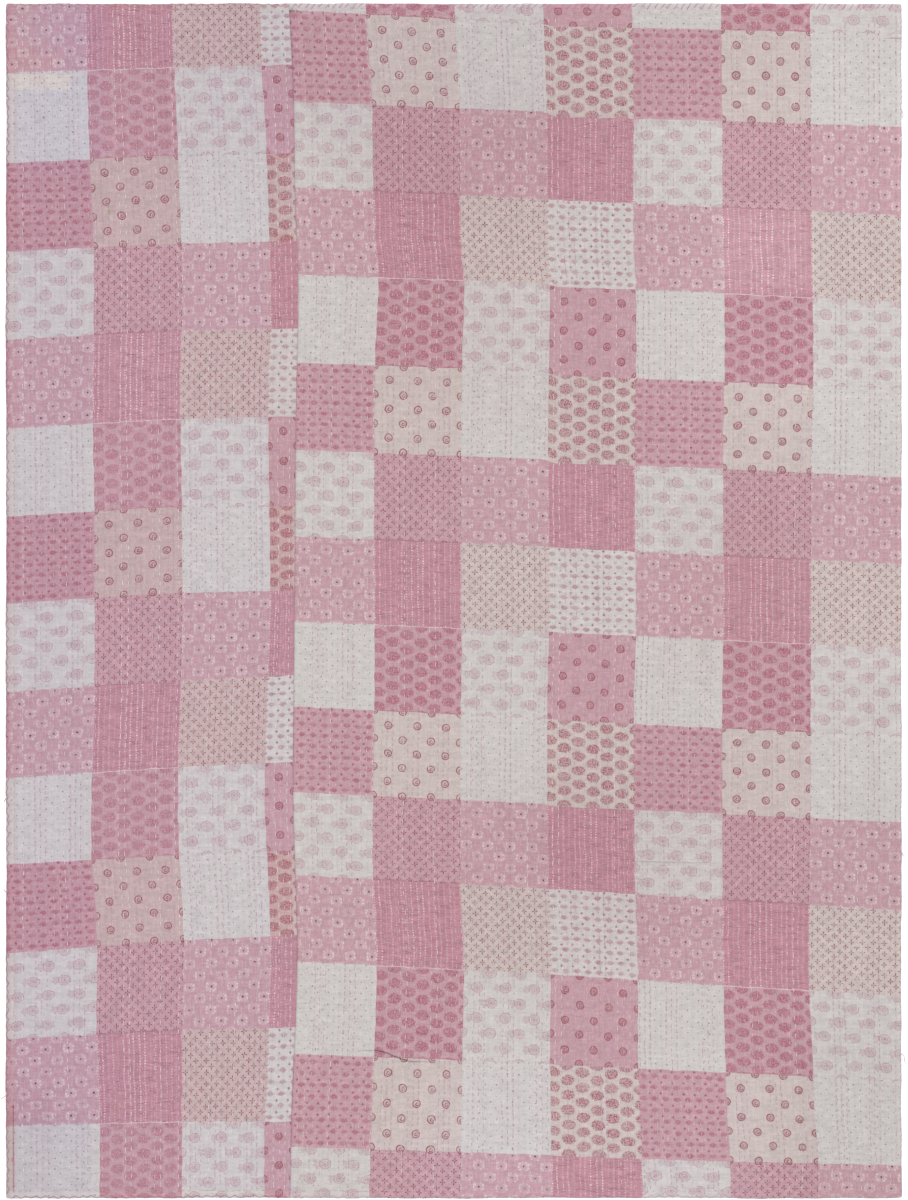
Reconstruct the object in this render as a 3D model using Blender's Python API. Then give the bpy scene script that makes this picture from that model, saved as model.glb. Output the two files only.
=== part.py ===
"""A hand-quilted patchwork-print throw, lying flat with its face up.

Two lengths of printed cloth are joined by one lengthwise seam, backed, turned in at the
edges and held together by running stitches that go the whole length of the throw, row
beside row. Each row pulls the layers down into a channel and leaves a soft rib between
itself and the next. Around the outside, the turned edge stands up as a narrow hem.

Frame: metres, +Z up, X across the throw, +Y towards its top end. The origin is the
middle of the throw on the surface that it lies on.
"""

import math
from collections import namedtuple

import bmesh
import bpy

# Size of the throw, lying flat
THROW_WIDTH = 1.500
THROW_LENGTH = 2.000
SEAM_FROM_LEFT = 0.4836  # left edge to the seam that joins the two panels
SEAM_GAP = 0.0003  # between the two panels, edge to edge

# Heights of the cloth's face above the surface
RIB_HEIGHT = 0.0034
CHANNEL_HEIGHT = 0.0022
HEM_HEIGHT = 0.0037
HEM_GROOVE_HEIGHT = 0.0021
EDGE_HEIGHT = 0.0020
SEAM_HEIGHT = 0.0021

# Quilting and hem
ROW_SPACING = 0.0104  # from one row of running stitches to the next
HEM_WIDTH = 0.0125  # outer edge to the row that holds the turned edge down
LENGTH_STEPS = 16  # stretches between the two end hems
CORNER_TUCK = 0.0028  # how far each outer corner is drawn in, both ways

# Hand-made unevenness: how high or far, and over what length
RIB_UNEVENNESS = 0.00035
SWELL_HEIGHT = 0.00030
SWELL_ACROSS = 0.43
SWELL_ALONG = 0.72
ROW_WANDER = 0.0022
ROW_WANDER_LENGTH = 0.41
ROW_LAG = 0.21  # radians that one line's wander lags behind its neighbour's
WANDER_FADE = 0.12  # share of a panel's width over which rows straighten near its sides
EDGE_WANDER = 0.0009
LONG_EDGE_WAVE = 0.62
SHORT_EDGE_WAVE = 0.25
SHORT_WAVE_SHARE = 0.6

# Where the seam lies: distance from the top end, and how far it strays to the right
SeamPoint = namedtuple("SeamPoint", "from_top astray")
SEAM_LINE = [
    SeamPoint(0.000, -0.0092),
    SeamPoint(0.163, -0.0017),
    SeamPoint(0.331, 0.0010),
    SeamPoint(0.481, 0.0062),
    SeamPoint(0.665, 0.0028),
    SeamPoint(0.832, 0.0012),
    SeamPoint(1.066, -0.0005),
    SeamPoint(1.334, -0.0023),
    SeamPoint(1.551, 0.0043),
    SeamPoint(1.668, 0.0032),
    SeamPoint(1.835, -0.0043),
    SeamPoint(2.000, -0.0075),
]

# A line of the face that runs along a panel: its place from the panel's hemmed side,
# its height, and its kind
Course = namedtuple("Course", "from_hem height kind")

Finish = namedtuple("Finish", "name colour roughness metallic")
LEFT_CLOTH = Finish("rose_print_left", (0.52, 0.32, 0.38, 1.0), 0.92, 0.0)
RIGHT_CLOTH = Finish("rose_print_right", (0.53, 0.34, 0.38, 1.0), 0.92, 0.0)


def smooth_along(points, place):
    """Reads the second column of a short table at a place, by a smooth curve."""
    last = len(points) - 1
    k = 0
    while k < last - 1 and place > points[k + 1][0]:
        k += 1
    before, start, end, after = (points[min(max(n, 0), last)] for n in range(k - 1, k + 3))
    span = end[0] - start[0]
    t = min(max((place - start[0]) / span, 0.0), 1.0)
    slope_in = (end[1] - before[1]) / (end[0] - before[0]) * span
    slope_out = (after[1] - start[1]) / (after[0] - start[0]) * span
    return (
        (2 * t**3 - 3 * t**2 + 1) * start[1]
        + (t**3 - 2 * t**2 + t) * slope_in
        + (3 * t**2 - 2 * t**3) * end[1]
        + (t**3 - t**2) * slope_out
    )


def panel_width(side):
    """Hemmed side to seam: -1 is the left panel and 1 the right one."""
    return SEAM_FROM_LEFT if side < 0 else THROW_WIDTH - SEAM_FROM_LEFT


def seam_x(y):
    """The seam's place across the throw at a height y along it."""
    from_top = THROW_LENGTH / 2 - y
    return -THROW_WIDTH / 2 + SEAM_FROM_LEFT + smooth_along(SEAM_LINE, from_top)


def wave(place, length, phase=0.0):
    """A wave from -1 to 1 of one length, read at a place along it."""
    return math.sin(2 * math.pi * place / length + phase)


def edge_inset(place, phase):
    """How far a hemmed edge lies inside the throw's full size, at a place along it."""
    long = wave(place, LONG_EDGE_WAVE, phase)
    short = SHORT_WAVE_SHARE * wave(place, SHORT_EDGE_WAVE, 2 * phase)
    return EDGE_WANDER * (1 + SHORT_WAVE_SHARE + long + short) / 2


def swell(x, y):
    """The slow rise and fall of cloth that lies loosely on a surface."""
    return SWELL_HEIGHT * wave(x, SWELL_ACROSS, wave(y, 2 * SWELL_ALONG)) * wave(y, SWELL_ALONG)


def unevenness(line, step):
    """A steady, seemingly random share from -1 to 1 for one point of one line."""
    return wave(line * math.sqrt(2) + step * math.sqrt(7), math.sqrt(5))


def courses_across(width):
    """The lines of one panel, from its hemmed side to its seam."""
    courses = [
        Course(0.0, EDGE_HEIGHT, "edge"),
        Course(HEM_WIDTH / 2, HEM_HEIGHT, "hem"),
        Course(HEM_WIDTH, HEM_GROOVE_HEIGHT, "groove"),
    ]
    quilted = width - HEM_WIDTH
    ribs = round(quilted / ROW_SPACING)
    spacing = quilted / ribs
    for rib in range(ribs):
        start = HEM_WIDTH + rib * spacing
        courses.append(Course(start + spacing / 2, RIB_HEIGHT, "rib"))
        if rib < ribs - 1:
            courses.append(Course(start + spacing, CHANNEL_HEIGHT, "channel"))
    courses.append(Course(width, SEAM_HEIGHT, "seam"))
    return courses


def courses_along():
    """The crosswise lines of both panels, from the bottom end to the top end."""
    quilted = THROW_LENGTH - 2 * HEM_WIDTH
    hem = [(0.0, EDGE_HEIGHT), (HEM_WIDTH / 2, HEM_HEIGHT), (HEM_WIDTH, HEM_GROOVE_HEIGHT)]
    inner = [(HEM_WIDTH + quilted * n / LENGTH_STEPS, None) for n in range(1, LENGTH_STEPS)]
    top = [(THROW_LENGTH - place, height) for place, height in reversed(hem)]
    return hem + inner + top


def face_point(course, line, along, step, side):
    """The place of the crossing of one lengthwise and one crosswise line.

    side is -1 for the left panel, whose hem is on its left, and 1 for the right one.
    """
    place, end_height = along
    y = place - THROW_LENGTH / 2
    seam = seam_x(y) + side * SEAM_GAP / 2
    outer = side * (THROW_WIDTH / 2 - edge_inset(y, 1.0 + side))
    share = course.from_hem / panel_width(side)
    x = outer + (seam - outer) * share
    if course.kind in ("rib", "channel"):
        fade = min(1.0, share / WANDER_FADE, (1 - share) / WANDER_FADE)
        x += ROW_WANDER * fade * wave(y, ROW_WANDER_LENGTH, ROW_LAG * line + side)

    inset = edge_inset(x, math.copysign(1.0, y))
    y *= 1 - inset / (THROW_LENGTH / 2)

    height = course.height
    if end_height is not None:
        pressed = course.kind in ("edge", "groove", "seam")
        height = min(height, end_height) if pressed else end_height
    elif course.kind in ("rib", "channel"):
        height += RIB_UNEVENNESS * unevenness(line, step) + swell(x, y)
    return x, y, height


def tuck_corner(vertex, side):
    """Draws an outer corner in, so that it is slightly round as a turned corner is."""
    vertex.co.x -= side * CORNER_TUCK
    vertex.co.y -= math.copysign(CORNER_TUCK, vertex.co.y)


def cloth_material(finish):
    """A plain Principled material with a finish's colour, roughness and metallic value."""
    material = bpy.data.materials.new(finish.name)
    material.use_nodes = True
    shader = material.node_tree.nodes["Principled BSDF"]
    shader.inputs["Base Color"].default_value = finish.colour
    shader.inputs["Roughness"].default_value = finish.roughness
    shader.inputs["Metallic"].default_value = finish.metallic
    return material


def quilted_panel(name, side, finish, collection):
    """One panel: a grid laid over its lines, closed by walls and a flat underside."""
    across, along = courses_across(panel_width(side)), courses_along()
    columns, steps = len(across) - 1, len(along) - 1

    mesh = bpy.data.meshes.new(name)
    panel = bmesh.new()
    bmesh.ops.create_grid(panel, x_segments=columns, y_segments=steps, size=0.5)
    for vertex in panel.verts:
        column = round((vertex.co.x + 0.5) * columns)
        step = round((vertex.co.y + 0.5) * steps)
        line = column if side < 0 else columns - column
        vertex.co = face_point(across[line], line, along[step], step, side)
        if line == 0 and step in (0, steps):
            tuck_corner(vertex, side)

    rim = [edge for edge in panel.edges if edge.is_boundary]
    walls = bmesh.ops.extrude_edge_only(panel, edges=rim)["geom"]
    for vertex in (item for item in walls if isinstance(item, bmesh.types.BMVert)):
        vertex.co.z = 0.0
    foot = [edge for edge in panel.edges if edge.is_boundary]
    underside = bmesh.ops.contextual_create(panel, geom=foot)["faces"]
    bmesh.ops.triangulate(panel, faces=underside, ngon_method="BEAUTY")
    bmesh.ops.recalc_face_normals(panel, faces=panel.faces)
    panel.to_mesh(mesh)
    panel.free()

    obj = bpy.data.objects.new(name, mesh)
    mesh.materials.append(cloth_material(finish))
    collection.objects.link(obj)
    return obj


def main():
    """Clears the scene and makes both panels in the throw's own collection."""
    for obj in list(bpy.data.objects):
        bpy.data.objects.remove(obj, do_unlink=True)
    collection = bpy.data.collections.new("quilted_throw")
    bpy.context.scene.collection.children.link(collection)
    quilted_panel("left_panel", -1, LEFT_CLOTH, collection)
    quilted_panel("right_panel", 1, RIGHT_CLOTH, collection)


main()
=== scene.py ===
"""A hand-quilted throw in a printed patchwork of small pink, beige and white squares.

Two lengths of printed cotton meet at one lengthwise seam. Running stitches in rose and
off-white thread go the whole length of the throw, row beside row, and slanting stitches
hold its turned edge. Everything here is in metres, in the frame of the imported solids:
X across the throw, +Y towards its top end, +Z up out of the printed face.
"""

import logging
import math
import random
from collections.abc import Sequence
from dataclasses import dataclass, field
from enum import Enum
from typing import Union

import bmesh
import bpy
import numpy as np
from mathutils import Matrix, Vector


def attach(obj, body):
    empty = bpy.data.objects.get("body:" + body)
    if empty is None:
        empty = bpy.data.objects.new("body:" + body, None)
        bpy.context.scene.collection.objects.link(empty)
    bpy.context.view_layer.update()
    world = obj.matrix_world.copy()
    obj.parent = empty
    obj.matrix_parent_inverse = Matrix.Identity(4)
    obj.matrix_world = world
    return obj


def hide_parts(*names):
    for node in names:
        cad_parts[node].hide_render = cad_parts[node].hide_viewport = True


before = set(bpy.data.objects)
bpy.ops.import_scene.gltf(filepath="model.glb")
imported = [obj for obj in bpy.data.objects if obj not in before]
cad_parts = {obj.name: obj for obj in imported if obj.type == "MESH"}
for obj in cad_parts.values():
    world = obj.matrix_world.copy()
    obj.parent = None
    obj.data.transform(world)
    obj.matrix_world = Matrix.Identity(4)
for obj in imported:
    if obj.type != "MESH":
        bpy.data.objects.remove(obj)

LOG = logging.getLogger("throw")

MM = 0.001
Wire = Union[float, Sequence[float], bpy.types.Material, "Signal"]
Curve = tuple[tuple[float, float], ...]
Lines = list[tuple["Anchor", "Anchor", float]]

# The outline and the heights, as the solids have them
THROW_WIDTH = 1.500
THROW_LENGTH = 2.000
SEAM_FROM_LEFT = 0.4836
SEAM_GAP = 0.0003
RIB_HEIGHT = 0.0034
CHANNEL_HEIGHT = 0.0022
GROOVE_HEIGHT = 0.0021
SEAM_HEIGHT = 0.0022
RIB_UNEVENNESS = 0.00035
SWELL_HEIGHT = 0.00030
SWELL_ACROSS = 0.43
SWELL_ALONG = 0.72
EDGE_WANDER = 0.0009
LONG_EDGE_WAVE = 0.62
SHORT_EDGE_WAVE = 0.25
SHORT_WAVE_SHARE = 0.6
EDGE_RIPPLE = 0.0014
LONG_RIPPLE = 0.097
SHORT_RIPPLE = 0.031
SHORT_RIPPLE_SHARE = 0.4
CORNER_RADIUS = 0.0065
RIB_WAVES = ((0.083, 0.5), (0.047, 0.35), (0.029, 0.25))  # length and share of a rib's unevenness
SEAM_RISE = 0.004  # from the seam to the cloth's full height
HEM_RISE = 0.006  # from a hem's groove to the cloth's full height
HEM_LUMPS = 0.12 * MM
HEM_LUMP_LENGTH = 0.015
HEM_LUMPS_FROM = 0.2  # share of the hem's width, past which it is lumpy

# The turned hem from its lower edge to its groove: distance from the outer edge as a
# share of the hem's width, and height
HEM_PROFILE = (
    (0.14, 0.0),
    (0.03, 0.7 * MM),
    (0.0, 1.8 * MM),
    (0.08, 3.0 * MM),
    (0.24, 3.6 * MM),
    (0.50, 3.7 * MM),
    (0.76, 3.2 * MM),
    (1.0, GROOVE_HEIGHT),
)
END_HEM = 0.0120

# The seam: distance from the top end, and how far it strays to the right, in mm
SEAM_LINE: Curve = (
    (0.000, -9.2), (0.163, -1.7), (0.331, 1.0), (0.481, 6.2), (0.665, 2.8), (0.832, 1.2),
    (1.066, -0.5), (1.334, -2.3), (1.551, 4.3), (1.668, 3.2), (1.835, -4.3), (2.000, -7.5),
)

PATCH = 0.1460  # one printed square, with 14 rows of stitches to it
CREAM = (0.995, 0.985, 0.945, 1.0)  # the turned hem's tint
BARE_CLOTH = (0.58, 0.53, 0.54, 1.0)
BORDER_SHAKE = 0.0004
STRIPE_PITCH = 9.1  # between two lines of fine dots, in mm
BEAD_PITCH = 4.4  # between two dots of such a line, in mm
BROAD_FADE = 0.015  # a tint that fades out over this width or more is kept on the cloth's points
ROUGH_STEP = (31.0, 17.0, 0.0)  # how far apart two prints of a motif read the same noise
HAZE_STEP = (13.0, 29.0, 0.0)
DAYLIGHT = 1.16  # how bright a white matt surface lies in the studio's light
SEAM_FROM_MIDDLE = SEAM_FROM_LEFT - THROW_WIDTH / 2
SEAM_FADE = 0.006  # from one panel's tint to the other's, to each side of the seam
COOL_LIGHT_CAST = (0.975, 0.955, 0.968, 1.0)  # painted cast of cool light over the left panel's cloth
WARM_LIGHT_CAST = (0.985, 0.965, 0.935, 1.0)  # painted cast of warm light over the right panel's cloth


@dataclass(frozen=True)
class Spot:
    """A tinted place on the cloth, in metres. The throw's spots are stains, dye differences, painted light
    and shade, and broad lighter and darker patches.
    """

    x: float
    y: float
    width: float
    length: float
    soft: float
    tint: tuple[float, float, float, float]

    @property
    def broad(self) -> bool:
        """Whether the cloth's own points can carry the spot, because it fades out over them."""
        return self.soft >= BROAD_FADE

    def cast(self, x: np.ndarray, y: np.ndarray) -> np.ndarray:
        """What the spot multiplies the cloth's red, green and blue by, at places on it."""
        wide = 1 - np.clip((np.abs(x - self.x) - self.width / 2) / self.soft, 0, 1)
        tall = 1 - np.clip((np.abs(y - self.y) - self.length / 2) / self.soft, 0, 1)
        return 1 + (wide * tall)[..., None] * (np.array(self.tint[:3]) - 1)


@dataclass(frozen=True)
class Pleat:
    """A fold pressed into the cloth, from its start to its end, in metres. Its depth is how much painted
    shade darkens the fold.
    """

    start: tuple[float, float, float]
    end: tuple[float, float, float]
    fade: float
    width: float
    depth: float


# Tints at places on the throw. Among them: stains, dye differences between squares, a cream band on the
# left hem, painted light and shade on the hems' slopes, a painted pool of light at the top right, and broad
# patches lighter or darker than the dyes.
STAINS_AND_PAINTED_LIGHT = (
    Spot(-0.700, 0.000, 0.13, 2.00, 0.06, (0.960, 0.950, 0.975, 1.0)),
    Spot(-0.150, 0.880, 0.55, 0.14, 0.22, (0.950, 0.940, 0.960, 1.0)),
    Spot(0.690, -0.860, 0.10, 0.20, 0.14, (0.950, 0.950, 0.955, 1.0)),
    # Painted light: the top right of the throw lit brighter
    Spot(0.690, 0.880, 0.14, 0.20, 0.16, (1.030, 1.030, 1.035, 1.0)),
    Spot(-0.660, 0.800, 0.08, 0.10, 0.06, (0.970, 0.990, 1.045, 1.0)),
    Spot(-0.640, 0.960, 0.05, 0.08, 0.05, (0.97, 0.98, 1.04, 1.0)),
    Spot(-0.700, 0.902, 0.06, 0.02, 0.03, (1.03, 1.0, 0.95, 1.0)),
    Spot(-0.690, 0.867, 0.094, 0.024, 0.002, (1.11, 1.075, 0.985, 1.0)),
    Spot(-0.5766, 0.650, 0.002, 0.004, 0.003, (0.80, 0.82, 0.60, 1.0)),
    Spot(-0.5766, 0.657, 0.0008, 0.010, 0.0015, (0.88, 0.88, 0.76, 1.0)),
    Spot(-0.7440, -0.915, 0.013, 0.140, 0.002, (0.93, 0.89, 0.84, 1.0)),
    Spot(-0.7362, -0.915, 0.0012, 0.145, 0.0015, (0.80, 0.55, 0.63, 1.0)),
    Spot(-0.7375, -0.934, 0.0020, 0.004, 0.003, (0.92, 0.68, 0.76, 1.0)),
    Spot(-0.7440, -0.902, 0.013, 0.0010, 0.0015, (0.88, 0.88, 0.88, 1.0)),
    Spot(-0.7440, -0.914, 0.013, 0.0010, 0.0020, (0.90, 0.90, 0.90, 1.0)),
    Spot(-0.7180, -0.900, 0.060, 0.150, 0.030, (0.965, 0.955, 0.955, 1.0)),
    # Painted light on the right hem's slope, near the top end
    Spot(0.7460, 0.880, 0.0070, 0.220, 0.0030, (1.040, 1.045, 1.055, 1.0)),
    Spot(-0.7410, 0.000, 0.016, 2.000, 0.0040, (0.995, 0.975, 0.965, 1.0)),
    Spot(0.245, -0.450, 0.500, 0.180, 0.150, (0.985, 0.970, 0.972, 1.0)),
    Spot(0.610, 0.550, 0.300, 0.420, 0.170, (1.050, 1.052, 1.056, 1.0)),
    # Painted shade on the left hem's slope and the bottom hem's, painted light on the right hem's and the
    # top hem's
    Spot(-0.747, 0.000, 0.010, 2.000, 0.005, (0.950, 0.935, 0.950, 1.0)),
    Spot(0.746, 0.000, 0.010, 2.000, 0.005, (1.025, 1.040, 1.045, 1.0)),
    Spot(0.240, 0.993, 1.000, 0.010, 0.006, (1.035, 1.000, 1.055, 1.0)),
    Spot(0.240, -0.993, 1.000, 0.010, 0.006, (0.985, 0.970, 1.000, 1.0)),
    Spot(0.450, 0.010, 0.130, 0.220, 0.060, (0.990, 0.970, 0.965, 1.0)),
    Spot(0.690, 0.020, 0.120, 0.200, 0.060, (1.030, 1.030, 1.030, 1.0)),
    Spot(0.690, -0.420, 0.120, 0.150, 0.080, (0.970, 0.970, 0.980, 1.0)),
    Spot(0.230, -0.900, 0.560, 0.180, 0.080, (1.025, 1.030, 1.050, 1.0)),
    Spot(0.220, -0.440, 0.200, 0.150, 0.120, (0.965, 0.962, 0.962, 1.0)),
    Spot(0.000, 0.560, 0.200, 0.420, 0.100, (0.980, 0.962, 0.962, 1.0)),
    Spot(0.010, 0.745, 0.220, 0.080, 0.100, (0.985, 0.968, 0.972, 1.0)),
    Spot(-0.565, -0.849, 0.002, 0.020, 0.004, (0.88, 0.92, 0.78, 1.0)),
    Spot(0.521, 0.589, 0.130, 0.110, 0.025, (1.110, 1.230, 1.180, 1.0)),
    Spot(0.521, 0.013, 0.130, 0.120, 0.025, (1.015, 1.050, 1.020, 1.0)),
    Spot(-0.527, 0.377, 0.130, 0.120, 0.020, (1.030, 1.060, 1.040, 1.0)),
    Spot(-0.288, 0.674, 0.040, 0.110, 0.006, (1.005, 1.120, 1.110, 1.0)),
    Spot(-0.288, 0.376, 0.040, 0.470, 0.006, (0.985, 0.965, 0.930, 1.0)),
    Spot(0.010, -0.952, 0.270, 0.070, 0.030, (1.015, 1.020, 1.030, 1.0)),
    Spot(-0.674, -0.925, 0.110, 0.110, 0.020, (0.960, 0.970, 0.985, 1.0)),
    Spot(-0.640, -0.800, 0.120, 0.150, 0.060, (0.980, 0.975, 1.000, 1.0)),
)
PLEATS = (
    Pleat((0.7310, 0.9405, 0.0), (0.7560, 0.9400, 0.0), 0.015, 0.0018, 0.30),
    Pleat((-0.132, -0.7520, 0.0), (-0.067, -0.7705, 0.0), 0.035, 0.0018, 0.46),
    Pleat((0.310, -0.4365, 0.0), (0.410, -0.4380, 0.0), 0.030, 0.0014, 0.13),
)


def smooth_along(curve: Curve, place: np.ndarray) -> np.ndarray:
    """Reads the second column of a short table by a smooth curve.

    Args:
        curve: pairs of a place and a value, in order.
        place: where to read it.

    Returns:
        The value at each place.
    """
    knots, values = (np.array(column) for column in zip(*curve))
    numbers, last = np.arange(len(knots)), len(knots) - 1
    before, after = np.maximum(numbers - 1, 0), np.minimum(numbers + 1, last)
    slopes = (values[after] - values[before]) / (knots[after] - knots[before])
    k = np.clip(np.searchsorted(knots, place, side="right") - 1, 0, last - 1)
    span = knots[k + 1] - knots[k]
    t = np.clip((place - knots[k]) / span, 0.0, 1.0)
    return (
        (2 * t**3 - 3 * t**2 + 1) * values[k]
        + (t**3 - 2 * t**2 + t) * slopes[k] * span
        + (3 * t**2 - 2 * t**3) * values[k + 1]
        + (t**3 - t**2) * slopes[k + 1] * span
    )


def wave(place: np.ndarray, length: float, phase: float = 0.0) -> np.ndarray:
    """A wave from -1 to 1 of one length, read at a place along it."""
    return np.sin(2 * np.pi * place / length + phase)


def ease(share: np.ndarray) -> np.ndarray:
    """A smooth step from 0 to 1."""
    t = np.clip(share, 0.0, 1.0)
    return t * t * (3 - 2 * t)


def edge_inset(place: np.ndarray, phase: float) -> np.ndarray:
    """How far a hemmed edge lies inside the throw's full size, at a place along it."""
    long = wave(place, LONG_EDGE_WAVE, phase)
    short = SHORT_WAVE_SHARE * wave(place, SHORT_EDGE_WAVE, 2 * phase)
    ripple = wave(place, LONG_RIPPLE, 3 * phase) + SHORT_RIPPLE_SHARE * wave(place, SHORT_RIPPLE, 5 * phase)
    slow = EDGE_WANDER * (1 + SHORT_WAVE_SHARE + long + short) / 2
    return slow + EDGE_RIPPLE * (1 + SHORT_RIPPLE_SHARE + ripple) / 4


def seam_x(y: np.ndarray) -> np.ndarray:
    """The seam's place across the throw at a height y along it."""
    return -THROW_WIDTH / 2 + SEAM_FROM_LEFT + MM * smooth_along(SEAM_LINE, THROW_LENGTH / 2 - y)


def chance(*keys: np.ndarray) -> np.ndarray:
    """A steady, seemingly random share from 0 to 1 for each set of whole numbers."""
    mixed = sum(np.asarray(key) * factor for key, factor in zip(keys, (12.9898, 78.233, 37.719)))
    return np.modf(np.abs(np.sin(mixed)) * 43758.5453)[0]


class Signal:
    """What a node puts out. A formula on signals lays the nodes that work it out."""

    def __init__(self, wiring: "Wiring", socket: bpy.types.NodeSocket) -> None:
        """Args:
            wiring: the wiring of the socket's tree.
            socket: the node's output.
        """
        self.wiring, self.socket = wiring, socket

    def __add__(self, other: Wire) -> "Signal":
        """The sum of both."""
        return self.wiring.math("ADD", self, other)

    def __radd__(self, other: Wire) -> "Signal":
        """The sum of both, where the signal comes second."""
        return self.wiring.math("ADD", other, self)

    def __sub__(self, other: Wire) -> "Signal":
        """The signal less the other."""
        return self.wiring.math("SUBTRACT", self, other)

    def __rsub__(self, other: Wire) -> "Signal":
        """The other less the signal."""
        return self.wiring.math("SUBTRACT", other, self)

    def __mul__(self, other: Wire) -> "Signal":
        """The product of both."""
        return self.wiring.math("MULTIPLY", self, other)

    def __truediv__(self, other: Wire) -> "Signal":
        """The signal divided by the other."""
        return self.wiring.math("DIVIDE", self, other)

    def __abs__(self) -> "Signal":
        """The signal without its sign."""
        return self.wiring.math("ABSOLUTE", self)


class Wiring:
    """Lays the nodes of one tree and links them."""

    def __init__(self, tree: bpy.types.NodeTree) -> None:
        """Args:
            tree: the node tree to fill.
        """
        self.tree = tree

    def connect(self, socket: bpy.types.NodeSocket, value: Wire) -> None:
        """Links a signal to a node's input, or gives the input a plain value."""
        if isinstance(value, Signal):
            self.tree.links.new(value.socket, socket)
        else:
            socket.default_value = value

    def feed(self, node: bpy.types.Node, name: str, value: Wire) -> None:
        """Connects a value to the node's input of this name."""
        self.connect(next(s for s in node.inputs if s.name == name and s.enabled), value)

    def add(self, kind: str, wires: dict[str, Wire], **settings: object) -> bpy.types.Node:
        """Adds a node.

        Args:
            kind: the node's type name.
            wires: a plain value or a signal for each named input.
            settings: the node's own options.

        Returns:
            The node.
        """
        node = self.tree.nodes.new(kind)
        for name, value in settings.items():
            setattr(node, name, value)
        for name, value in wires.items():
            self.feed(node, name, value)
        return node

    def take(
        self, kind: str, wires: dict[str, Wire], output: int | str | None = None, **settings: object
    ) -> Signal:
        """Adds a node, as add does, and returns one of its outputs, or else the first in use."""
        return self.output(self.add(kind, wires, **settings), output)

    def output(self, node: bpy.types.Node, key: int | str | None = None) -> Signal:
        """A node's output by its number or name, or else the first in use."""
        if key is None:
            return Signal(self, next(s for s in node.outputs if s.enabled))
        return Signal(self, node.outputs[key])

    def math(self, operation: str, *values: Wire, clamp: bool = False) -> Signal:
        """One sum, on vectors where a value is one: operation names it, and values go in."""
        vectors = any(self.is_vector(value) for value in values)
        node = self.tree.nodes.new("ShaderNodeVectorMath" if vectors else "ShaderNodeMath")
        node.operation = operation
        if clamp:
            node.use_clamp = True
        for socket, value in zip((s for s in node.inputs if s.enabled), values):
            self.connect(socket, value)
        return self.output(node)

    def is_vector(self, value: Wire) -> bool:
        """Whether a value has three parts."""
        if isinstance(value, Signal):
            return value.socket.type in ("VECTOR", "RGBA")
        return isinstance(value, tuple)

    def most(self, a: Wire, b: Wire) -> Signal:
        """The larger of two values."""
        return self.math("MAXIMUM", a, b)

    def cosine(self, angle: Wire) -> Signal:
        """The cosine of an angle in radians."""
        return self.math("COSINE", angle)

    def body(self) -> Signal:
        """The place on the piece itself, in metres."""
        return self.take("ShaderNodeTexCoord", {}, "Object")

    def parts(self, vector: Wire) -> list[Signal]:
        """The X, Y and Z of a vector."""
        return [Signal(self, s) for s in self.add("ShaderNodeSeparateXYZ", {"Vector": vector}).outputs]

    def join(self, x: Wire = 0.0, y: Wire = 0.0, z: Wire = 0.0) -> Signal:
        """A vector from its X, Y and Z."""
        return self.take("ShaderNodeCombineXYZ", {"X": x, "Y": y, "Z": z})

    def noise(self, place: Wire, scale: float, detail: float = 2.0, output: int = 0) -> Signal:
        """Smooth noise from about 0 to 1: place is where to read it, scale is per metre."""
        return self.take("ShaderNodeTexNoise", {"Vector": place, "Scale": scale, "Detail": detail}, output)

    def ramp(self, value: Wire, low: Wire, high: Wire, start: float = 0.0, end: float = 1.0) -> Signal:
        """A soft step.

        Args:
            value: what is compared.
            low: where the step begins.
            high: where it ends.
            start: the result at low and under it.
            end: the result at high and over it.

        Returns:
            The result.
        """
        wires = {"Value": value, "From Min": low, "From Max": high, "To Min": start, "To Max": end}
        return self.take("ShaderNodeMapRange", wires, interpolation_type="SMOOTHSTEP")

    def within(self, value: Wire, reach: float, soft: float) -> Signal:
        """1 where value is under reach and 0 past it, with a soft edge."""
        return self.ramp(value, reach - soft, reach + soft, 1.0, 0.0)

    def right_of_seam(self, x: Wire) -> Signal:
        """0 on the left panel and 1 on the right one."""
        return self.ramp(x, SEAM_FROM_MIDDLE - SEAM_FADE, SEAM_FROM_MIDDLE + SEAM_FADE)

    def mix(self, factor: Wire, a: Wire, b: Wire, blend: str = "MIX") -> Signal:
        """Mixes two colours: factor is the share of b, and blend names how."""
        wires = {"Factor": factor, "A": a, "B": b}
        return self.take("ShaderNodeMix", wires, data_type="RGBA", blend_type=blend, clamp_factor=True)

    def tinted(self, colour: Wire, tint: Wire) -> Signal:
        """A colour multiplied by a tint."""
        return self.mix(1.0, colour, tint, "MULTIPLY")

    def group(self, tree: bpy.types.NodeTree, wires: dict[str, Wire]) -> list[Signal]:
        """Places a shader's node group with its own values and returns its outputs."""
        return [Signal(self, s) for s in self.add("ShaderNodeGroup", wires, node_tree=tree).outputs]


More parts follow.
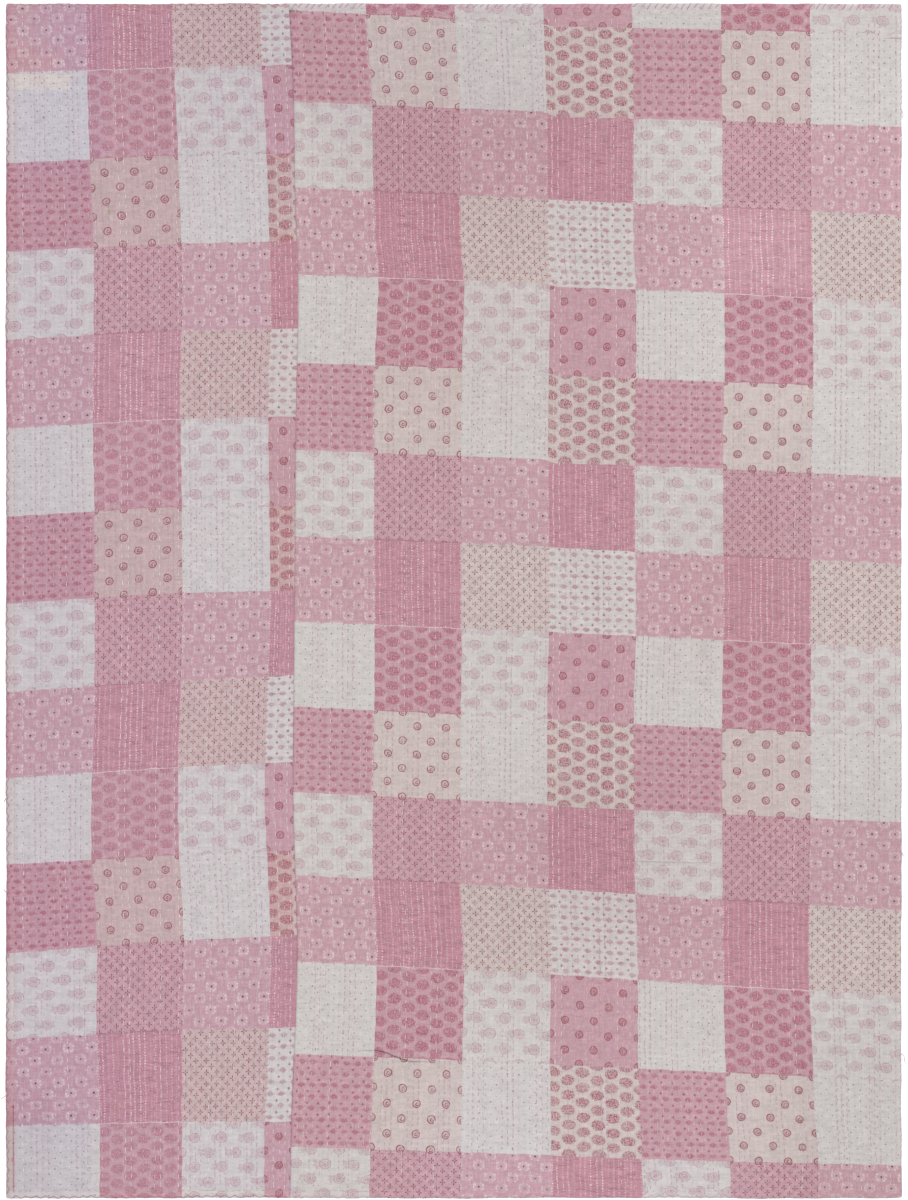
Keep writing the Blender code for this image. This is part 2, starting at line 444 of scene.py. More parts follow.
def new_group(
    kind: str, name: str, inputs: dict[str, tuple[str, Wire]], outputs: dict[str, str]
) -> tuple[Wiring, dict[str, Signal], bpy.types.Node]:
    """Starts a node group with named sockets.

    Args:
        kind: Shader or Geometry.
        name: the group's name.
        inputs: for each input, its socket's kind and first value.
        outputs: for each output, its socket's kind.

    Returns:
        The group's wiring, its inputs by name and its output node.
    """
    tree = bpy.data.node_groups.new(name, f"{kind}NodeTree")
    for label, (socket_kind, value) in inputs.items():
        socket = tree.interface.new_socket(label, in_out="INPUT", socket_type=f"NodeSocket{socket_kind}")
        if value is not None:
            socket.default_value = value
    for label, socket_kind in outputs.items():
        tree.interface.new_socket(label, in_out="OUTPUT", socket_type=f"NodeSocket{socket_kind}")
    wiring = Wiring(tree)
    source = wiring.add("NodeGroupInput", {})
    given = {label: wiring.output(source, label) for label in inputs}
    return wiring, given, wiring.add("NodeGroupOutput", {})


def dyed(red: int, green: int, blue: int) -> tuple[float, float, float, float]:
    """The matt colour that shows as these three values, 0 to 255, in the studio's light."""
    shown = (value / 255 for value in (red, green, blue))
    light = [v / 12.92 if v <= 0.04045 else ((v + 0.055) / 1.055) ** 2.4 for v in shown]
    return (*(value / DAYLIGHT for value in light), 1.0)


class Motif(Enum):
    """The small shapes of the print."""

    DOTS = "pin dots"
    SEEDS = "round seeds"
    OVALS = "oval flower heads"
    ROSES = "faint roses with leaves"
    RINGS = "rings with a curl"
    DISCS = "filled rings"
    LEAVES = "leaves and seeds"
    CROSSES = "four-petal sprigs"
    DAISIES = "pale daisies"
    STRIPES = "lines of fine dots"


@dataclass(frozen=True)
class Lattice:
    """Where a motif repeats in its square, in mm from the square's top left corner."""

    across: float
    down: float
    first_across: float
    first_down: float
    stagger: float = 0.5
    by_columns: bool = True


class PrintRoom:
    """Makes the node groups that the printed cotton is drawn with, each once."""

    def __init__(self) -> None:
        """Makes the groups that every motif shares."""
        self.lattice = self.make_lattice()
        self.slack = self.make_slack()
        self.stains_and_light = self.make_stains_and_light()
        self.pleat = self.make_pleat()
        self.cotton = self.make_cotton()
        self.made: dict[tuple[Motif, Lattice], bpy.types.NodeTree] = {}

    def make_lattice(self) -> bpy.types.NodeTree:
        """A staggered lattice: gives the way from the nearest motif's middle, and its number."""
        inputs = {
            "Place": ("Vector", None), "Pitch": ("Vector", (20.0, 20.0, 1.0)),
            "First": ("Vector", None), "Stagger": ("Float", 0.5),
        }
        outputs = {"Offset": "Vector", "Cell": "Vector"}
        w, given, out = new_group("Shader", "staggered lattice", inputs, outputs)
        place = (given["Place"] - given["First"]) / given["Pitch"]
        x, y, _ = w.parts(place)
        row = w.math("ROUND", y)
        shift = w.math("FRACT", row * 0.5) * 2.0 * given["Stagger"]
        shifted = x + shift
        column = w.math("ROUND", shifted)
        offset = w.join(shifted - column, y - row)
        w.feed(out, "Offset", offset * given["Pitch"])
        w.feed(out, "Cell", w.join(column, row))
        return w.tree

    def make_slack(self) -> bpy.types.NodeTree:
        """A place on the print in mm, as a hand-pressed and puckered cloth shifts it."""
        inputs = {"Share": ("Vector", None), "Drift": ("Float", 0.9), "Shake": ("Float", 0.5)}
        w, given, out = new_group("Shader", "slack print", inputs, {"Place": "Vector"})
        body = w.body()
        shifts = []
        for scale, size in ((22.0, "Drift"), (160.0, "Shake")):
            swing = w.noise(body, scale, 1.0, output=1) - (0.5, 0.5, 0.5)
            shifts.append(w.math("SCALE", swing, given[size]) * (4.0, 4.0, 0.0))
        place = given["Share"] * (PATCH / MM, PATCH / MM, 0.0)
        w.feed(out, "Place", place + shifts[0] + shifts[1])
        return w.tree

    def make_stains_and_light(self) -> bpy.types.NodeTree:
        """The tints on this one throw, at their places on it: a painted cast of cool light on the left
        panel and of warm light on the right one, the broad tints kept on the cloth's points, and the sharp
        spots drawn here, among them small stains, dye differences, the left hem's cream band, and painted
        light and shade on the hems' slopes.
        """
        w, given, out = new_group("Shader", "stains and painted light", {"Place": ("Vector", None)}, {"Tint": "Color"})
        x, y, _ = w.parts(given["Place"])
        right = w.right_of_seam(x)
        cast = w.take("ShaderNodeAttribute", {}, "Color", attribute_name="cast")
        # A painted cast of cool light on the left panel and of warm light on the right one, times the broad
        # tints
        tint = w.tinted(w.mix(right, COOL_LIGHT_CAST, WARM_LIGHT_CAST), cast)
        for mark in (mark for mark in STAINS_AND_PAINTED_LIGHT if not mark.broad):
            wide = w.ramp(abs(x - mark.x), mark.width / 2, mark.width / 2 + mark.soft, 1.0, 0.0)
            tall = w.ramp(abs(y - mark.y), mark.length / 2, mark.length / 2 + mark.soft, 1.0, 0.0)
            tint = w.mix(wide * tall, tint, w.tinted(tint, mark.tint))
        w.feed(out, "Tint", tint)
        return w.tree

    def make_pleat(self) -> bpy.types.NodeTree:
        """A pressed-in pleat: a line that steps from one height to another; gives the fold's mask, which
        takes painted shade.
        """
        inputs = {
            "Place": ("Vector", None), "Start": ("Vector", None), "End": ("Vector", None),
            "Fade": ("Float", 0.02), "Width": ("Float", 0.0012),
        }
        w, given, out = new_group("Shader", "pressed pleat", inputs, {"Fold": "Float"})
        x, y, _ = w.parts(given["Place"])
        x0, y0, _ = w.parts(given["Start"])
        x1, y1, _ = w.parts(given["End"])
        step = w.ramp(x, x0, x1)
        line = y0 + step * (y1 - y0)
        away = abs(y - line) / given["Width"]
        fold = w.ramp(away, 0.3, 1.0, 1.0, 0.0)
        fade = given["Fade"]
        starts = w.ramp(x, x0 - fade, x0 + fade * 0.5)
        ends = w.ramp(x, x1 - fade * 0.2, x1 + fade, 1.0, 0.0)
        w.feed(out, "Fold", fold * (starts * ends))
        return w.tree

    def make_cotton(self) -> bpy.types.NodeTree:
        """Printed, quilted cotton: lays the dyes on, paints shade into its crinkles, pleat folds and hem
        grooves, and gives colour, roughness and height.
        """
        inputs = {
            "Ground": ("Color", None), "Dye": ("Color", None), "Bloom Colour": ("Color", None),
            "Ink": ("Float", 0.0), "Bloom": ("Float", 0.0), "Rows": ("Vector", None),
            "Slubs": ("Float", 0.22), "Grain": ("Float", 0.29), "Mottle": ("Float", 0.07),
            "Crinkle": ("Float", 0.24), "Pucker": ("Float", 1.0 * MM), "Worn": ("Float", 0.2),
        }
        outputs = {"Color": "Color", "Roughness": "Float", "Height": "Float"}
        w, given, out = new_group("Shader", "quilted cotton", inputs, outputs)
        body = w.body()
        row, along, hem = w.parts(given["Rows"])

        warp = w.noise(body * (460.0, 45.0, 1.0), 1.0, 3.0)
        weft = w.noise(body * (45.0, 460.0, 1.0), 1.0, 3.0)
        grain = w.noise(body, 560.0, 2.0)
        blotch = w.noise(body, 95.0, 3.0)
        drift = w.noise(body, 7.0, 2.0)

        worn = w.ramp(grain, 0.3, 0.62, 0.66, 1.12) * w.ramp(blotch, 0.25, 0.6, 0.72, 1.05)
        inked = given["Ink"] * worn
        # Bare cloth that shows through the dyed ground, in fine flecks
        upright = w.noise(body * (430.0, 85.0, 1.0), 1.0, 1.0)
        level = w.noise(body * (85.0, 430.0, 1.0), 1.0, 1.0)
        bare = w.most(upright, level - 0.03)
        thin = w.ramp(bare, 0.5, 0.74) * given["Worn"]
        ground = w.mix(thin, given["Ground"], BARE_CLOTH)
        colour = w.mix(inked, ground, given["Dye"])
        patchy = given["Bloom"] * w.ramp(grain, 0.3, 0.6, 0.6, 1.05)
        colour = w.mix(patchy, colour, given["Bloom Colour"])

        # Crosswise crinkles, pulled up between the rows of stitches: painted shade darkens and lightens the
        # colour along them, and they raise the bump height
        crinkle = w.noise(w.join(row * 0.7, along * 300.0), 1.0, 3.0)
        folds = w.noise(w.join(row * 0.4, along * 95.0, 7.0), 1.0, 2.0)
        terms = (
            (warp - 0.5 + (weft - 0.5), "Slubs"),
            (grain - 0.5, "Grain"),
            (blotch - 0.5 + (drift - 0.5), "Mottle"),
            (crinkle - 0.5 + (folds - 0.5), "Crinkle"),
        )
        shade = 1.0
        for swing, size in terms:
            shade = swing * given[size] + shade
        # Painted shade in each pleat's fold, as dark as the pleat's depth says
        pleats = []
        for pleat in PLEATS:
            line = {"Place": body, "Start": pleat.start, "End": pleat.end}
            fold = w.group(self.pleat, {**line, "Fade": pleat.fade, "Width": pleat.width})[0]
            pleats.append(fold)
            shade = shade * (1.0 - fold * pleat.depth)
        # Painted shade of the hem's groove: a dark line along the hem's inner edge, broken up by noise
        rim = w.within(abs(hem - 0.25), 0.22, 0.18)
        shade = shade - rim * w.ramp(drift, 0.35, 0.6, 0.02, 0.11)
        colour = w.tinted(colour, w.join(shade, shade, shade))
        colour = w.tinted(colour, w.group(self.stains_and_light, {"Place": body})[0])
        w.feed(out, "Color", w.mix(hem * 0.8, colour, w.tinted(colour, CREAM)))

        w.feed(out, "Roughness", w.ramp(blotch, 0.3, 0.7, 0.86, 0.95))
        puckers = crinkle * 0.45 + folds
        rise = puckers * given["Pucker"]
        rise = rise + (warp + weft) * (0.15 * MM)
        for fold in pleats:
            rise = rise - fold * (0.5 * MM)
        w.feed(out, "Height", rise)
        return w.tree

    def motif(self, motif: Motif, lattice: Lattice) -> bpy.types.NodeTree:
        """The group that draws one motif on one lattice.

        Args:
            motif: the shape.
            lattice: where it repeats.

        Returns:
            A group that takes a place in mm and gives two masks, Ink and Bloom.
        """
        key = (motif, lattice)
        if key not in self.made:
            w, given, out = new_group(
                "Shader", motif.value, {"Place": ("Vector", None)}, {"Ink": "Float", "Bloom": "Float"}
            )
            place = given["Place"]
            draw = getattr(self, motif.name.lower())
            if motif is Motif.STRIPES:
                ink, bloom = draw(w, place)
            else:
                ink, bloom = draw(w, *self.spread(w, place, lattice))
            w.feed(out, "Ink", ink)
            w.feed(out, "Bloom", bloom)
            self.made[key] = w.tree
        return self.made[key]

    def spread(self, w: Wiring, place: Wire, lattice: Lattice) -> tuple[Wire, Wire]:
        """Places a lattice: gives the offset from the motif's middle and the motif's number."""
        pitch = (lattice.across, lattice.down, 1.0)
        first = (lattice.first_across, lattice.first_down, 0.0)
        if lattice.by_columns:
            x, y, _ = w.parts(place)
            place, pitch, first = w.join(y, x), (pitch[1], pitch[0], 1.0), (first[1], first[0], 0.0)
        wires = {"Place": place, "Pitch": pitch, "First": first, "Stagger": lattice.stagger}
        offset, cell = w.group(self.lattice, wires)
        if lattice.by_columns:
            x, y, _ = w.parts(offset)
            offset = w.join(y, x)
        return offset, cell

    def distance(
        self, w: Wiring, offset: Wire,
        centre: tuple[float, float] = (0.0, 0.0), size: tuple[float, float] = (1.0, 1.0),
    ) -> Signal:
        """How far a place is from a centre, in the sizes of an ellipse."""
        moved = offset - (*centre, 0.0)
        return w.math("LENGTH", moved / (*size, 1.0))

    def turn(self, w: Wiring, offset: Wire) -> Signal:
        """The angle round a motif's middle, in radians."""
        x, y, _ = w.parts(offset)
        return w.math("ARCTAN2", y, x)

    def luck(self, w: Wiring, cell: Wire, low: float, high: float) -> Signal:
        """A steady random share for each printed motif, from low to high."""
        share = w.take("ShaderNodeTexWhiteNoise", {"Vector": cell}, "Value", noise_dimensions="3D")
        return w.ramp(share, 0.0, 1.0, low, high)

    def dots(self, w: Wiring, offset: Wire, cell: Wire) -> tuple[Wire, Wire]:
        """Pin dots, some of them faint."""
        dot = w.within(self.distance(w, offset), 1.05, 0.45)
        return dot * self.luck(w, cell, 0.5, 1.0), 0.0

    def seeds(self, w: Wiring, offset: Wire, cell: Wire) -> tuple[Wire, Wire]:
        """Small four-lobed seeds between the leaves."""
        across, up, _ = w.parts(abs(offset))
        lobes = w.math("MINIMUM", across, up) * 0.9
        dot = w.within(self.distance(w, offset) + lobes, 2.6, 0.6)
        return dot * self.luck(w, cell, 0.8, 1.0), 0.0

    def rings(self, w: Wiring, offset: Wire, cell: Wire) -> tuple[Wire, Wire]:
        """A ring with a small open curl in it."""
        reach = self.distance(w, offset)
        ring = w.within(abs(reach - 6.0), 0.85, 0.38)
        inner = offset - (0.8, 0.4, 0.0)
        spin = self.turn(w, inner)
        # The curl winds in: its radius falls with the angle
        wound = 2.3 + spin * 0.18
        curl = w.within(abs(w.math("LENGTH", inner) - wound), 0.8, 0.35)
        opening = w.ramp(w.cosine(spin + 0.6), 0.4, 0.9, 1.0, 0.3)
        curl = curl * opening * self.luck(w, cell, 0.7, 1.0)
        ink = w.most(ring, curl) * self.luck(w, cell, 0.9, 1.0)
        return w.math("ADD", ink, w.within(reach, 5.4, 0.6) * 0.1, clamp=True), 0.0

    def discs(self, w: Wiring, offset: Wire, cell: Wire) -> tuple[Wire, Wire]:
        """The same ring filled in, with a paler eye."""
        ink, bloom = self.rings(w, offset, cell)
        reach = self.distance(w, offset)
        fill = w.within(reach, 5.9, 0.6) * w.ramp(reach, 0.9, 2.6, 0.1, 0.38)
        return w.most(ink, fill), bloom

    def ovals(self, w: Wiring, offset: Wire, cell: Wire) -> tuple[Wire, Wire]:
        """An oval head of broken petals."""
        half = (12.4, 8.8)
        reach, spin = self.distance(w, offset, size=half), self.turn(w, offset / (*half, 1.0))
        place = offset + cell * ROUGH_STEP
        rough, broken = w.noise(place, 0.34, 1.0), w.noise(place, 0.5, 0.0)
        rays = w.cosine(spin * 13.0 + rough * 9.0)
        uneven = (rough - 0.5) * 0.3
        ragged = reach + (rays * 0.05 + uneven)
        petals = w.ramp(rays * 0.06 + broken, 0.42, 0.56, 0.32, 1.1)
        ink = w.within(ragged, 0.93, 0.08) * petals
        return ink * self.luck(w, cell, 0.72, 0.9), 0.0

    def roses(self, w: Wiring, offset: Wire, cell: Wire) -> tuple[Wire, Wire]:
        """A faint rose of two thin rings round a heart, with a spray of leaves at its left."""
        spin = self.turn(w, offset)
        rough = w.noise(offset + cell * ROUGH_STEP, 0.38, 2.0)
        scallop = w.cosine(spin * 8.0) * 0.35
        bend = (rough - 0.5) * 2.6
        reach = self.distance(w, offset, size=(1.06, 0.94)) + scallop + bend
        outline = w.within(abs(reach - 8.6), 0.60, 0.50)
        inner = w.within(abs(reach - 4.4), 0.6, 0.6) * 0.9
        heart = w.within(reach, 2.0, 1.0)
        haze = w.ramp(w.noise(offset + cell * HAZE_STEP, 0.85, 2.0), 0.36, 0.62, 0.25, 1.75)
        tint = w.within(reach, 8.8, 1.0) * haze * 0.24
        spray = offset - (-12.8, 0.4, 0.0)
        fingers = w.cosine(self.turn(w, spray) * 5.0 + rough * 2.5)
        leaf_reach = self.distance(w, spray, size=(1.0, 1.1)) + fingers * 1.3
        leaves = w.within(abs(leaf_reach - 4.6), 0.6, 0.8) * 0.75
        leaf_tint = w.within(leaf_reach, 4.9, 0.8) * haze * 0.27
        broken = w.ramp(rough, 0.36, 0.56, 0.35, 1.15)
        lines = w.most(w.most(outline, inner), w.most(heart, leaves))
        ink = w.most(lines * broken, w.most(tint, leaf_tint))
        return ink * self.luck(w, cell, 0.8, 1.0), 0.0

    def leaves(self, w: Wiring, offset: Wire, cell: Wire) -> tuple[Wire, Wire]:
        """A plump leaf with a pointed stalk through it."""
        rough = w.noise(offset + cell * ROUGH_STEP, 0.7, 3.0)
        bend = (rough - 0.5) * 1.7
        across, up, _ = w.parts(abs(offset / (7.2, 5.0, 1.0)))
        lens = w.most(across + up, self.distance(w, offset, (0.3, 0.2), (5.9, 3.7)))
        body = w.within(lens + bend, 1.0, 0.22)
        stalk = w.within(self.distance(w, offset, (-0.2, 0.2), (7.2, 0.9)), 1.0, 0.45) * 0.8
        vein = w.within(self.distance(w, offset, (0.6, -0.5), (3.0, 0.6)), 1.0, 0.5)
        leaf = w.most(body, stalk) * (1.0 - vein * 0.3)
        leaf = leaf * w.ramp(rough, 0.36, 0.6, 0.45, 1.05)
        return leaf * self.luck(w, cell, 0.66, 0.96), 0.0

    def crosses(self, w: Wiring, offset: Wire, cell: Wire) -> tuple[Wire, Wire]:
        """Four slim petals, the sidewards ones longer, round a small open middle."""
        x, y, _ = w.parts(abs(offset / (1.12, 0.95, 1.0)))
        far, near = w.most(x, y), w.math("MINIMUM", x, y)
        petal = w.within(self.distance(w, w.join(far, near), (2.95, 0.0), (2.25, 0.74)), 1.0, 0.32)
        blush = w.within(x + y, 4.6, 1.2) * 0.06
        ink = w.most(petal, blush)
        return ink * self.luck(w, cell, 0.8, 1.0), 0.0

    def daisies(self, w: Wiring, offset: Wire, cell: Wire) -> tuple[Wire, Wire]:
        """Pale broken petals, brighter at the sides, round a dark dot."""
        reach, spin = self.distance(w, offset, size=(1.38, 1.0)), self.turn(w, offset)
        rough = w.noise(offset + cell * ROUGH_STEP, 0.36, 2.0)
        waves = spin * 9.0 + rough * 7.0
        petals = w.ramp(w.cosine(waves), -0.6, 0.4, 0.40, 1.15)
        ring = w.within(abs(reach - 6.5), 1.85, 0.7)
        across = abs(w.cosine(spin) + 0.1)
        sides = w.ramp(across, 0.3, 0.9, 0.36, 1.10)
        broken = w.ramp(rough, 0.34, 0.58, 0.45, 1.0)
        ring = ring * petals * (sides * broken)
        veil = w.within(reach, 6.8, 1.6) * 0.16
        bloom = w.most(ring, veil) * self.luck(w, cell, 0.65, 1.0)
        eye = w.within(self.distance(w, offset), 1.65, 0.5)
        bloom = bloom * (1.0 - eye)
        dot = eye * self.luck(w, cell, 0.65, 1.0)
        return dot, bloom

    def stripes(self, w: Wiring, place: Wire) -> tuple[Wire, Wire]:
        """Wandering lines of fine pale dots, some lines bright and some faint, over painted shade of
        crosswise wrinkles.
        """
        x, y, _ = w.parts(place)
        wander = w.noise(w.join(x * 0.05, y * 0.012), 1.0, 1.0)
        x = x + (wander - 0.5) * 3.0
        line = w.math("ROUND", x / STRIPE_PITCH)
        stray = self.luck(w, w.join(line, 5.0), -0.9, 0.9)
        off = x - line * STRIPE_PITCH - stray
        luck = self.luck(w, w.join(line), 0.28, 1.05)
        along = y / BEAD_PITCH + luck
        beads = w.math("FRACT", along) - 0.5
        bead = w.within(w.math("LENGTH", w.join(off, beads * BEAD_PITCH)), 1.15, 0.40)
        thread = w.within(abs(off), 0.8, 0.6) * 0.08
        bead = bead * self.luck(w, w.join(line, w.math("FLOOR", along)), 0.45, 1.15)
        bloom = w.most(bead, thread) * luck
        # Painted shade of crosswise wrinkles: streaks of the dark dye
        wrinkle = w.noise(w.join(x * 0.05, y * 0.36), 1.0, 1.0)
        return w.ramp(wrinkle, 0.55, 0.68, 0.0, 0.50), bloom


class Ground(Enum):
    """The colours that the squares are dyed."""

    PINK = dyed(195, 156, 168)
    BEIGE = dyed(203, 191, 190)
    WHITE = dyed(207, 203, 204)
    ROSE = dyed(190, 141, 156)


class Dye(Enum):
    """The colours that the motifs are printed in."""

    DEEP_ROSE = dyed(168, 96, 114)
    DARK_ROSE = dyed(156, 84, 98)
    SPRIG_ROSE = dyed(140, 62, 77)
    FAINT_ROSE = dyed(179, 134, 151)
    MUTED_ROSE = dyed(171, 116, 127)
    SMOKE_ROSE = dyed(120, 50, 74)
    GREY_ROSE = dyed(140, 108, 122)
    CLEARED = dyed(226, 210, 215)
    ASHEN = dyed(220, 208, 212)
    BEADED = dyed(240, 219, 227)
    CURL_ROSE = dyed(150, 74, 90)
    RIPE_ROSE = dyed(161, 85, 102)


DOT_LATTICE = Lattice(9.1, 18.2, 11.3, 10.0)
RING_LATTICE = Lattice(24.2, 47.9, 0.0, 0.0)
ROSE_LATTICE = Lattice(48.1, 24.4, 22.4, 27.1, by_columns=False)
DAISY_LATTICE = Lattice(18.2, 37.1, 28.9, 20.7)
CROSS_LATTICE = Lattice(9.27, 18.3, 15.0, 6.1)
SPRIG_LATTICE = Lattice(9.07, 18.2, 4.6, 12.9)
LEAF_LATTICE = Lattice(18.6, 18.2, 6.8, 10.9, stagger=0.0)
SEED_LATTICE = Lattice(18.6, 18.2, 18.4, 2.9, stagger=0.0)


@dataclass(frozen=True)
class PrintedSquare:
    """The finish of one kind of printed square."""

    ground: Ground
    motif: Motif
    lattice: Lattice
    dye: Dye = Dye.DEEP_ROSE
    bloom: Dye = Dye.CLEARED
    seeds: bool = False
    rings_above: bool = False
    worn: float = 0.34
    # how strongly painted shade of the crinkles darkens and lightens the colour
    crinkle: float = 0.26
    filled_beyond: float | None = None
    left_tint: tuple[float, float, float, float] | None = None
    left_ink: float = 1.0
    top_line: float = 0.0
    bottom_line: float = 0.0

    @property
    def name(self) -> str:
        """The finish's name."""
        return f"{self.motif.value} on {self.ground.name.lower()}"

    def material(self, room: PrintRoom) -> bpy.types.Material:
        """Draws the square as a material.

        Args:
            room: the node groups to draw with.

        Returns:
            The material.
        """
        made, w, shader = new_material(self.name)
        share = w.take("ShaderNodeUVMap", {}, uv_map="print")
        rows = w.take("ShaderNodeAttribute", {}, "Vector", attribute_name="rows")
        place = w.group(room.slack, {"Share": share})[0]
        ink, bloom = w.group(room.motif(self.motif, self.lattice), {"Place": place})
        down = w.parts(share)[1]
        across = w.parts(w.body())[0]
        if self.filled_beyond:
            disc = w.group(room.motif(Motif.DISCS, self.lattice), {"Place": place})[0]
            there = w.ramp(across, self.filled_beyond, self.filled_beyond + 0.01)
            ink = w.most(ink, disc * there)
        if self.seeds:
            seed = w.group(room.motif(Motif.SEEDS, SEED_LATTICE), {"Place": place})[0]
            ink = w.most(ink, seed)
        if self.rings_above:
            ring = w.group(room.motif(Motif.RINGS, RING_LATTICE), {"Place": place + (0.0, 2.4, 0.0)})[0]
            ink = w.most(ink, ring * w.ramp(down, 0.02, 0.032, 1.0, 0.0))
        for line, low, high in ((self.top_line, 0.004, 0.011), (self.bottom_line, 0.996, 0.985)):
            strip = w.ramp(down, low, high, abs(line), 0.0)
            if line < 0:
                ink = w.most(ink, strip)
            elif line > 0:
                bloom = w.most(bloom, strip)
        ground = self.ground.value
        right = w.right_of_seam(across)
        ink = ink * w.ramp(right, 0.0, 1.0, self.left_ink, 1.0)
        if self.left_tint:
            ground = w.mix(right, w.tinted(ground, self.left_tint), ground)
        wires = {
            "Ground": ground, "Dye": self.dye.value, "Bloom Colour": self.bloom.value,
            "Ink": ink, "Bloom": bloom, "Rows": rows, "Worn": self.worn, "Crinkle": self.crinkle,
        }
        colour, roughness, height = w.group(room.cotton, wires)
        bump = w.take("ShaderNodeBump", {"Strength": 1.0, "Distance": 1.0, "Height": height})
        for name, value in (("Base Color", colour), ("Roughness", roughness), ("Normal", bump)):
            w.feed(shader, name, value)
        return made


def new_material(name: str) -> tuple[bpy.types.Material, Wiring, bpy.types.Node]:
    """A material of matt cotton.

    Args:
        name: the material's name.

    Returns:
        The material, its wiring and its shader.
    """
    made = bpy.data.materials.new(name)
    made.use_nodes = True
    shader = made.node_tree.nodes["Principled BSDF"]
    shader.inputs["Specular IOR Level"].default_value = 0.15
    shader.inputs["Sheen Weight"].default_value = 0.06
    shader.inputs["Sheen Roughness"].default_value = 0.5
    return made, Wiring(made.node_tree), shader


DOT_SQUARE = PrintedSquare(Ground.WHITE, Motif.DOTS, DOT_LATTICE, Dye.GREY_ROSE, worn=0.0)
ROSE_SQUARE = PrintedSquare(Ground.WHITE, Motif.ROSES, ROSE_LATTICE, Dye.FAINT_ROSE, worn=0.0)
DAISY_SQUARE = PrintedSquare(Ground.PINK, Motif.DAISIES, DAISY_LATTICE, Dye.SMOKE_ROSE, Dye.ASHEN)
STRIPE_SQUARE = PrintedSquare(
    Ground.ROSE, Motif.STRIPES, DOT_LATTICE, bloom=Dye.BEADED, worn=0.10, crinkle=0.42
)

# The printed repeat: four rows of four squares
REPEAT: tuple[tuple[PrintedSquare, ...], ...] = (
    (
        DOT_SQUARE,
        PrintedSquare(
            Ground.PINK, Motif.OVALS, Lattice(23.7, 24.6, 7.0, 15.4),
            top_line=1.0, bottom_line=-0.6, left_ink=0.72,
        ),
        ROSE_SQUARE,
        PrintedSquare(Ground.PINK, Motif.DISCS, RING_LATTICE, Dye.DARK_ROSE),
    ),
    (
        PrintedSquare(
            Ground.PINK, Motif.LEAVES, LEAF_LATTICE, seeds=True,
            left_tint=(0.98, 0.92, 0.94, 1.0),
        ),
        PrintedSquare(
            Ground.BEIGE, Motif.RINGS, RING_LATTICE, Dye.CURL_ROSE,
            left_tint=(0.93, 0.80, 0.82, 1.0), filled_beyond=0.42,
        ),
        DOT_SQUARE,
        PrintedSquare(
            Ground.BEIGE, Motif.OVALS, Lattice(24.2, 23.9, 4.2, 11.0), Dye.RIPE_ROSE,
            left_tint=(0.95, 0.74, 0.75, 1.0),
        ),
    ),
    (
        ROSE_SQUARE,
        PrintedSquare(
            Ground.PINK, Motif.CROSSES, CROSS_LATTICE, Dye.SPRIG_ROSE,
            rings_above=True, bottom_line=-0.55,
        ),
        DAISY_SQUARE,
        STRIPE_SQUARE,
    ),
    (
        DAISY_SQUARE,
        STRIPE_SQUARE,
        PrintedSquare(
            Ground.BEIGE, Motif.CROSSES, SPRIG_LATTICE, Dye.SPRIG_ROSE,
            left_tint=(0.97, 0.86, 0.87, 1.0),
        ),
        PrintedSquare(Ground.WHITE, Motif.LEAVES, LEAF_LATTICE, Dye.MUTED_ROSE, seeds=True),
    ),
)


@dataclass(frozen=True)
class Thread:
    """The finish of one spun cotton thread."""

    name: str
    slot: str
    colour: tuple[float, float, float, float]
    top_tint: tuple[float, float, float, float] | None = None

    def material(self) -> bpy.types.Material:
        """Spun thread: its colour comes and goes along it, and its ply shows as fine ridges."""
        made, w, shader = new_material(self.name)
        body = w.body()
        fleck = w.noise(body, 420.0, 2.0)
        light = tuple(min(1.0, part * 1.18) for part in self.colour[:3]) + (1.0,)
        dark = tuple(part * 0.86 for part in self.colour[:3]) + (1.0,)
        colour = w.mix(w.ramp(fleck, 0.3, 0.7), dark, light)
        if self.top_tint:
            at_top = w.ramp(w.parts(body)[1], 0.9870, 0.9885)
            colour = w.mix(at_top, colour, w.tinted(colour, self.top_tint))
        w.feed(shader, "Base Color", colour)
        w.feed(shader, "Roughness", w.ramp(fleck, 0.3, 0.7, 0.7, 0.9))
        twist = {"Vector": body, "Scale": 240.0, "Distortion": 2.0}
        ply = w.take("ShaderNodeTexWave", twist, "Fac", bands_direction="DIAGONAL")
        bump = w.take("ShaderNodeBump", {"Strength": 0.5, "Distance": 0.1 * MM, "Height": ply})
        w.feed(shader, "Normal", bump)
        return made


ROSE_THREAD = Thread("rose spun thread", "rose_thread", dyed(208, 174, 190))
DARK_THREAD = Thread("dark rose spun thread", "rose_thread", dyed(176, 128, 150), (1.22, 1.45, 1.30, 1.0))
PALE_THREAD = Thread("pale lilac spun thread", "rose_thread", dyed(198, 176, 190), (0.82, 0.64, 0.74, 1.0))
WHITE_THREAD = Thread("off-white spun thread", "white_thread", dyed(236, 228, 229))


class Mark(Enum):
    """What a line of the cloth is measured from."""

    EDGE = "the hemmed edge, in metres into the panel"
    BORDER = "a border of the printed squares, by its number"
    SEAM = "the seam"
    BOTTOM = "the bottom end, in metres into the panel"


@dataclass(frozen=True)
class Anchor:
    """A line of the cloth that the lines before it are spread up to."""

    mark: Mark
    value: float
    lines: int = 1
    row: float = 0.0
    height: float | None = None


